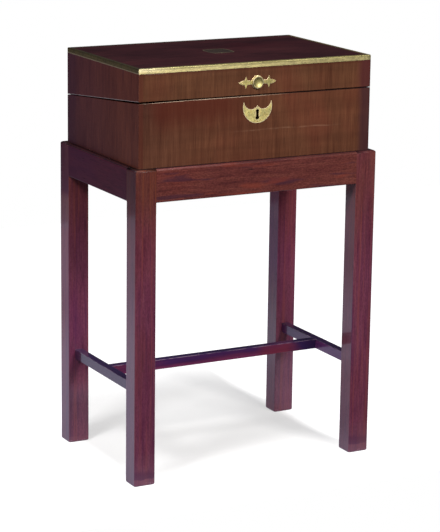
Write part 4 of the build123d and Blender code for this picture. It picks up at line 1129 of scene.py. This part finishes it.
def slotted(node, up):
    """the CAD screws with a turned slot in each head"""
    src = NODES[node]
    bm = bmesh.new()
    bm.from_mesh(src.data)
    bmesh.ops.remove_doubles(bm, verts=bm.verts, dist=2e-6)
    left, heads = set(bm.verts), []
    while left:
        todo, part = [left.pop()], []
        while todo:
            v = todo.pop()
            part.append(v.co.copy())
            for e in v.link_edges:
                w = e.other_vert(v)
                if w in left:
                    left.discard(w)
                    todo.append(w)
        x = (min(c.x for c in part) + max(c.x for c in part)) / 2
        y = (min(c.y for c in part) + max(c.y for c in part)) / 2
        z = max(c.z for c in part) if up else min(c.z for c in part)
        heads.append((x, y, z, (max(c.x for c in part) - min(c.x for c in part)) / 2))
    ob = raw_object(node + "_slotted", bm)
    cut = bmesh.new()
    for k, (x, y, z, r) in enumerate(sorted(heads)):
        a = math.radians((25, 140, 70, 100)[k % 4])
        u, w = Vector((math.cos(a), math.sin(a), 0)) * r * 1.3, Vector((-math.sin(a), math.cos(a), 0)) * r * 0.20
        d = -0.0005 if up else 0.0005
        c = Vector((x, y, z - d))
        add_prism(cut, [c - u - w, c + u - w, c + u + w, c - u + w], (0, 0, 2 * d))
    boolean(ob, cut)
    ob.data.materials.clear()
    ob.data.materials.append(MATS["steel"])
    ob.data.shade_smooth()
    ob.data.set_sharp_from_angle(angle=math.radians(35))
    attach(ob, src["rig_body"])
    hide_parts(node)
    return ob


for nm, up in (("lock_screws", True), ("base_hinge_screws", True), ("lid_hinge_screws", False), ("link_screws", False)):
    slotted(nm, up)

# ------------------------------------------------------------------ materials on the remaining CAD pieces
for names, mat in ((("tray_rests", "well_floors", "base_bottom", "base_hinge_rail", "lid_hinge_rail"), "inner"),
                   (("base_board_rests", "lid_board_rests"), "inner_y"),
                   (("lock_case", "base_hinge_leaves", "lid_hinge_leaves", "link_plate", "escutcheon_pins", "finger_plate_pins"), "brass_in"),
                   (("hinge_pins", "lock_bolt"), "steel"),
                   (("base_leather",), "leather_base"), (("lid_leather",), "leather_lid"),
                   (("base_hinge_cloth", "lid_hinge_cloth"), "cloth")):
    for nm in names:
        me = NODES[nm].data
        me.materials.clear()
        me.materials.append(MATS[mat])


# ------------------------------------------------------------------ floor, light
def area(name, loc, target, power, size, size_y=None, colour=(1, 1, 1), spread=180):
    li = bpy.data.lights.new(name, "AREA")
    li.energy, li.color = power, colour
    li.shape, li.size, li.size_y = "RECTANGLE", size, size_y or size
    li.spread = math.radians(spread)
    ob = bpy.data.objects.new(name, li)
    bpy.context.scene.collection.objects.link(ob)
    ob.location = loc
    ob.rotation_euler = (Vector(target) - Vector(loc)).to_track_quat("-Z", "Y").to_euler()
    ob.visible_camera = False
    return ob


def polar(az, el, d, c=(0, 0, 0.45)):
    a, e = math.radians(az), math.radians(el)
    return (c[0] + d * math.sin(a) * math.cos(e), c[1] - d * math.cos(a) * math.cos(e), c[2] + d * math.sin(e))


def floor():
    bm = bmesh.new()
    x0, x1, y0, y1, z = -3.2, 3.2, -0.335, 2.02, -0.0002
    nx, ny = 16, 8
    vs = [[bm.verts.new((x0 + (x1 - x0) * i / nx, y0 + (y1 - y0) * j / ny, z)) for i in range(nx + 1)] for j in range(ny + 1)]
    for j in range(ny):
        for i in range(nx):
            bm.faces.new((vs[j][i], vs[j][i + 1], vs[j + 1][i + 1], vs[j + 1][i]))
    me = bpy.data.meshes.new("floor")
    bm.to_mesh(me)
    bm.free()
    ob = bpy.data.objects.new("floor", me)
    bpy.context.scene.collection.objects.link(ob)
    M = Mat("floor_paper")
    o = M.xyz()
    f = M.noise(M.mapped((1, 1, 1)), 3.0, 2.0)
    # the contact shadows stay inside the four feet and fade out behind them
    ax = M.step(M.math("ABSOLUTE", o["X"]), 0.215, 0.262)
    back = M.step(o["Y"], 0.30, 0.64)
    near = M.step(M.math("MULTIPLY_ADD", o["X"], -0.05, o["Y"]), 0.02, -0.21)
    beyond = M.step(M.math("MULTIPLY_ADD", M.math("SUBTRACT", o["Y"], 0.17), -0.443, o["X"]), -0.232, -0.258)
    beyond = M.math("MULTIPLY", beyond, M.step(o["Y"], 0.13, 0.19))
    out = M.math("MAXIMUM", M.math("MAXIMUM", ax, beyond), M.math("MAXIMUM", back, near))
    glow = M.step(out, 0.0, 1.0, FLOOR_GLOW, 0.90, smooth=False)
    path = M.n("ShaderNodeLightPath").outputs
    # bounce light on the object is kept low, so the wood keeps its depth
    glow = M.math("MULTIPLY", glow, M.math("MULTIPLY_ADD", path["Is Diffuse Ray"], -0.75, 1.0))
    far = M.step(o["Y"], 0.70, 1.25, 1.0, M.step(o["X"], -0.85, -0.65, 0.72, 0.45))
    near_dim = M.step(o["Y"], -0.30, -0.17, 0.20, 1.0)
    seen = M.math("MULTIPLY", M.math("MULTIPLY", M.step(o["X"], -0.24, -0.32, SEEN_IN, SEEN_OUT), far), near_dim)
    tint = M.mix(path["Is Glossy Ray"], (1.0, 1.0, 1.0), M.mul(FLOOR_TINT, seen))
    M.set(Base_Color=M.mul(M.mix(f, (FLOOR_WHITE,) * 3, (FLOOR_WHITE + 0.01,) * 3), M.mix(path["Is Diffuse Ray"], tint, (0.5, 0.5, 0.5))),
          Emission_Color=tint, Emission_Strength=glow)
    M.b.inputs["Roughness"].default_value = 0.9
    M.b.inputs["Specular IOR Level"].default_value = 0.0
    me.materials.append(M.m)


FLOOR_WHITE, FLOOR_GLOW, FLOOR_TINT = 0.45, 0.445, (0.875, 0.88, 1.16)
SEEN_IN, SEEN_OUT = 0.45, 0.45
floor()
area("key_left", polar(-61, 40, 3.3), (0, 0, 0.45), 80, 0.72, 0.72)
area("key_right", polar(13, 38, 3.3), (0, 0, 0.5), 102, 1.00, 1.00, (1.0, 0.98, 0.95))
area("front_low", polar(-4, 12, 3.4), (0, 0, 0.7), 20, 1.6, 1.0, (1.0, 0.97, 0.92))
area("top_soft", (0.05, 0.20, 2.7), (0.0, 0.1, 0.0), 20, 1.5, 1.5)

world = bpy.data.worlds.new("studio")
bpy.context.scene.world = world
world.use_nodes = True
wt = world.node_tree
bg = next(n for n in wt.nodes if n.type == "BACKGROUND")
lp = wt.nodes.new("ShaderNodeLightPath")
mx = wt.nodes.new("ShaderNodeMix")
mx.data_type = "RGBA"
mx.inputs[6].default_value = (0.022, 0.020, 0.034, 1)
mx.inputs[7].default_value = (1.0, 1.0, 1.0, 1)
wt.links.new(lp.outputs["Is Camera Ray"], mx.inputs[0])
wt.links.new(mx.outputs[2], bg.inputs["Color"])
bpy.context.scene.view_settings.view_transform = "Standard"
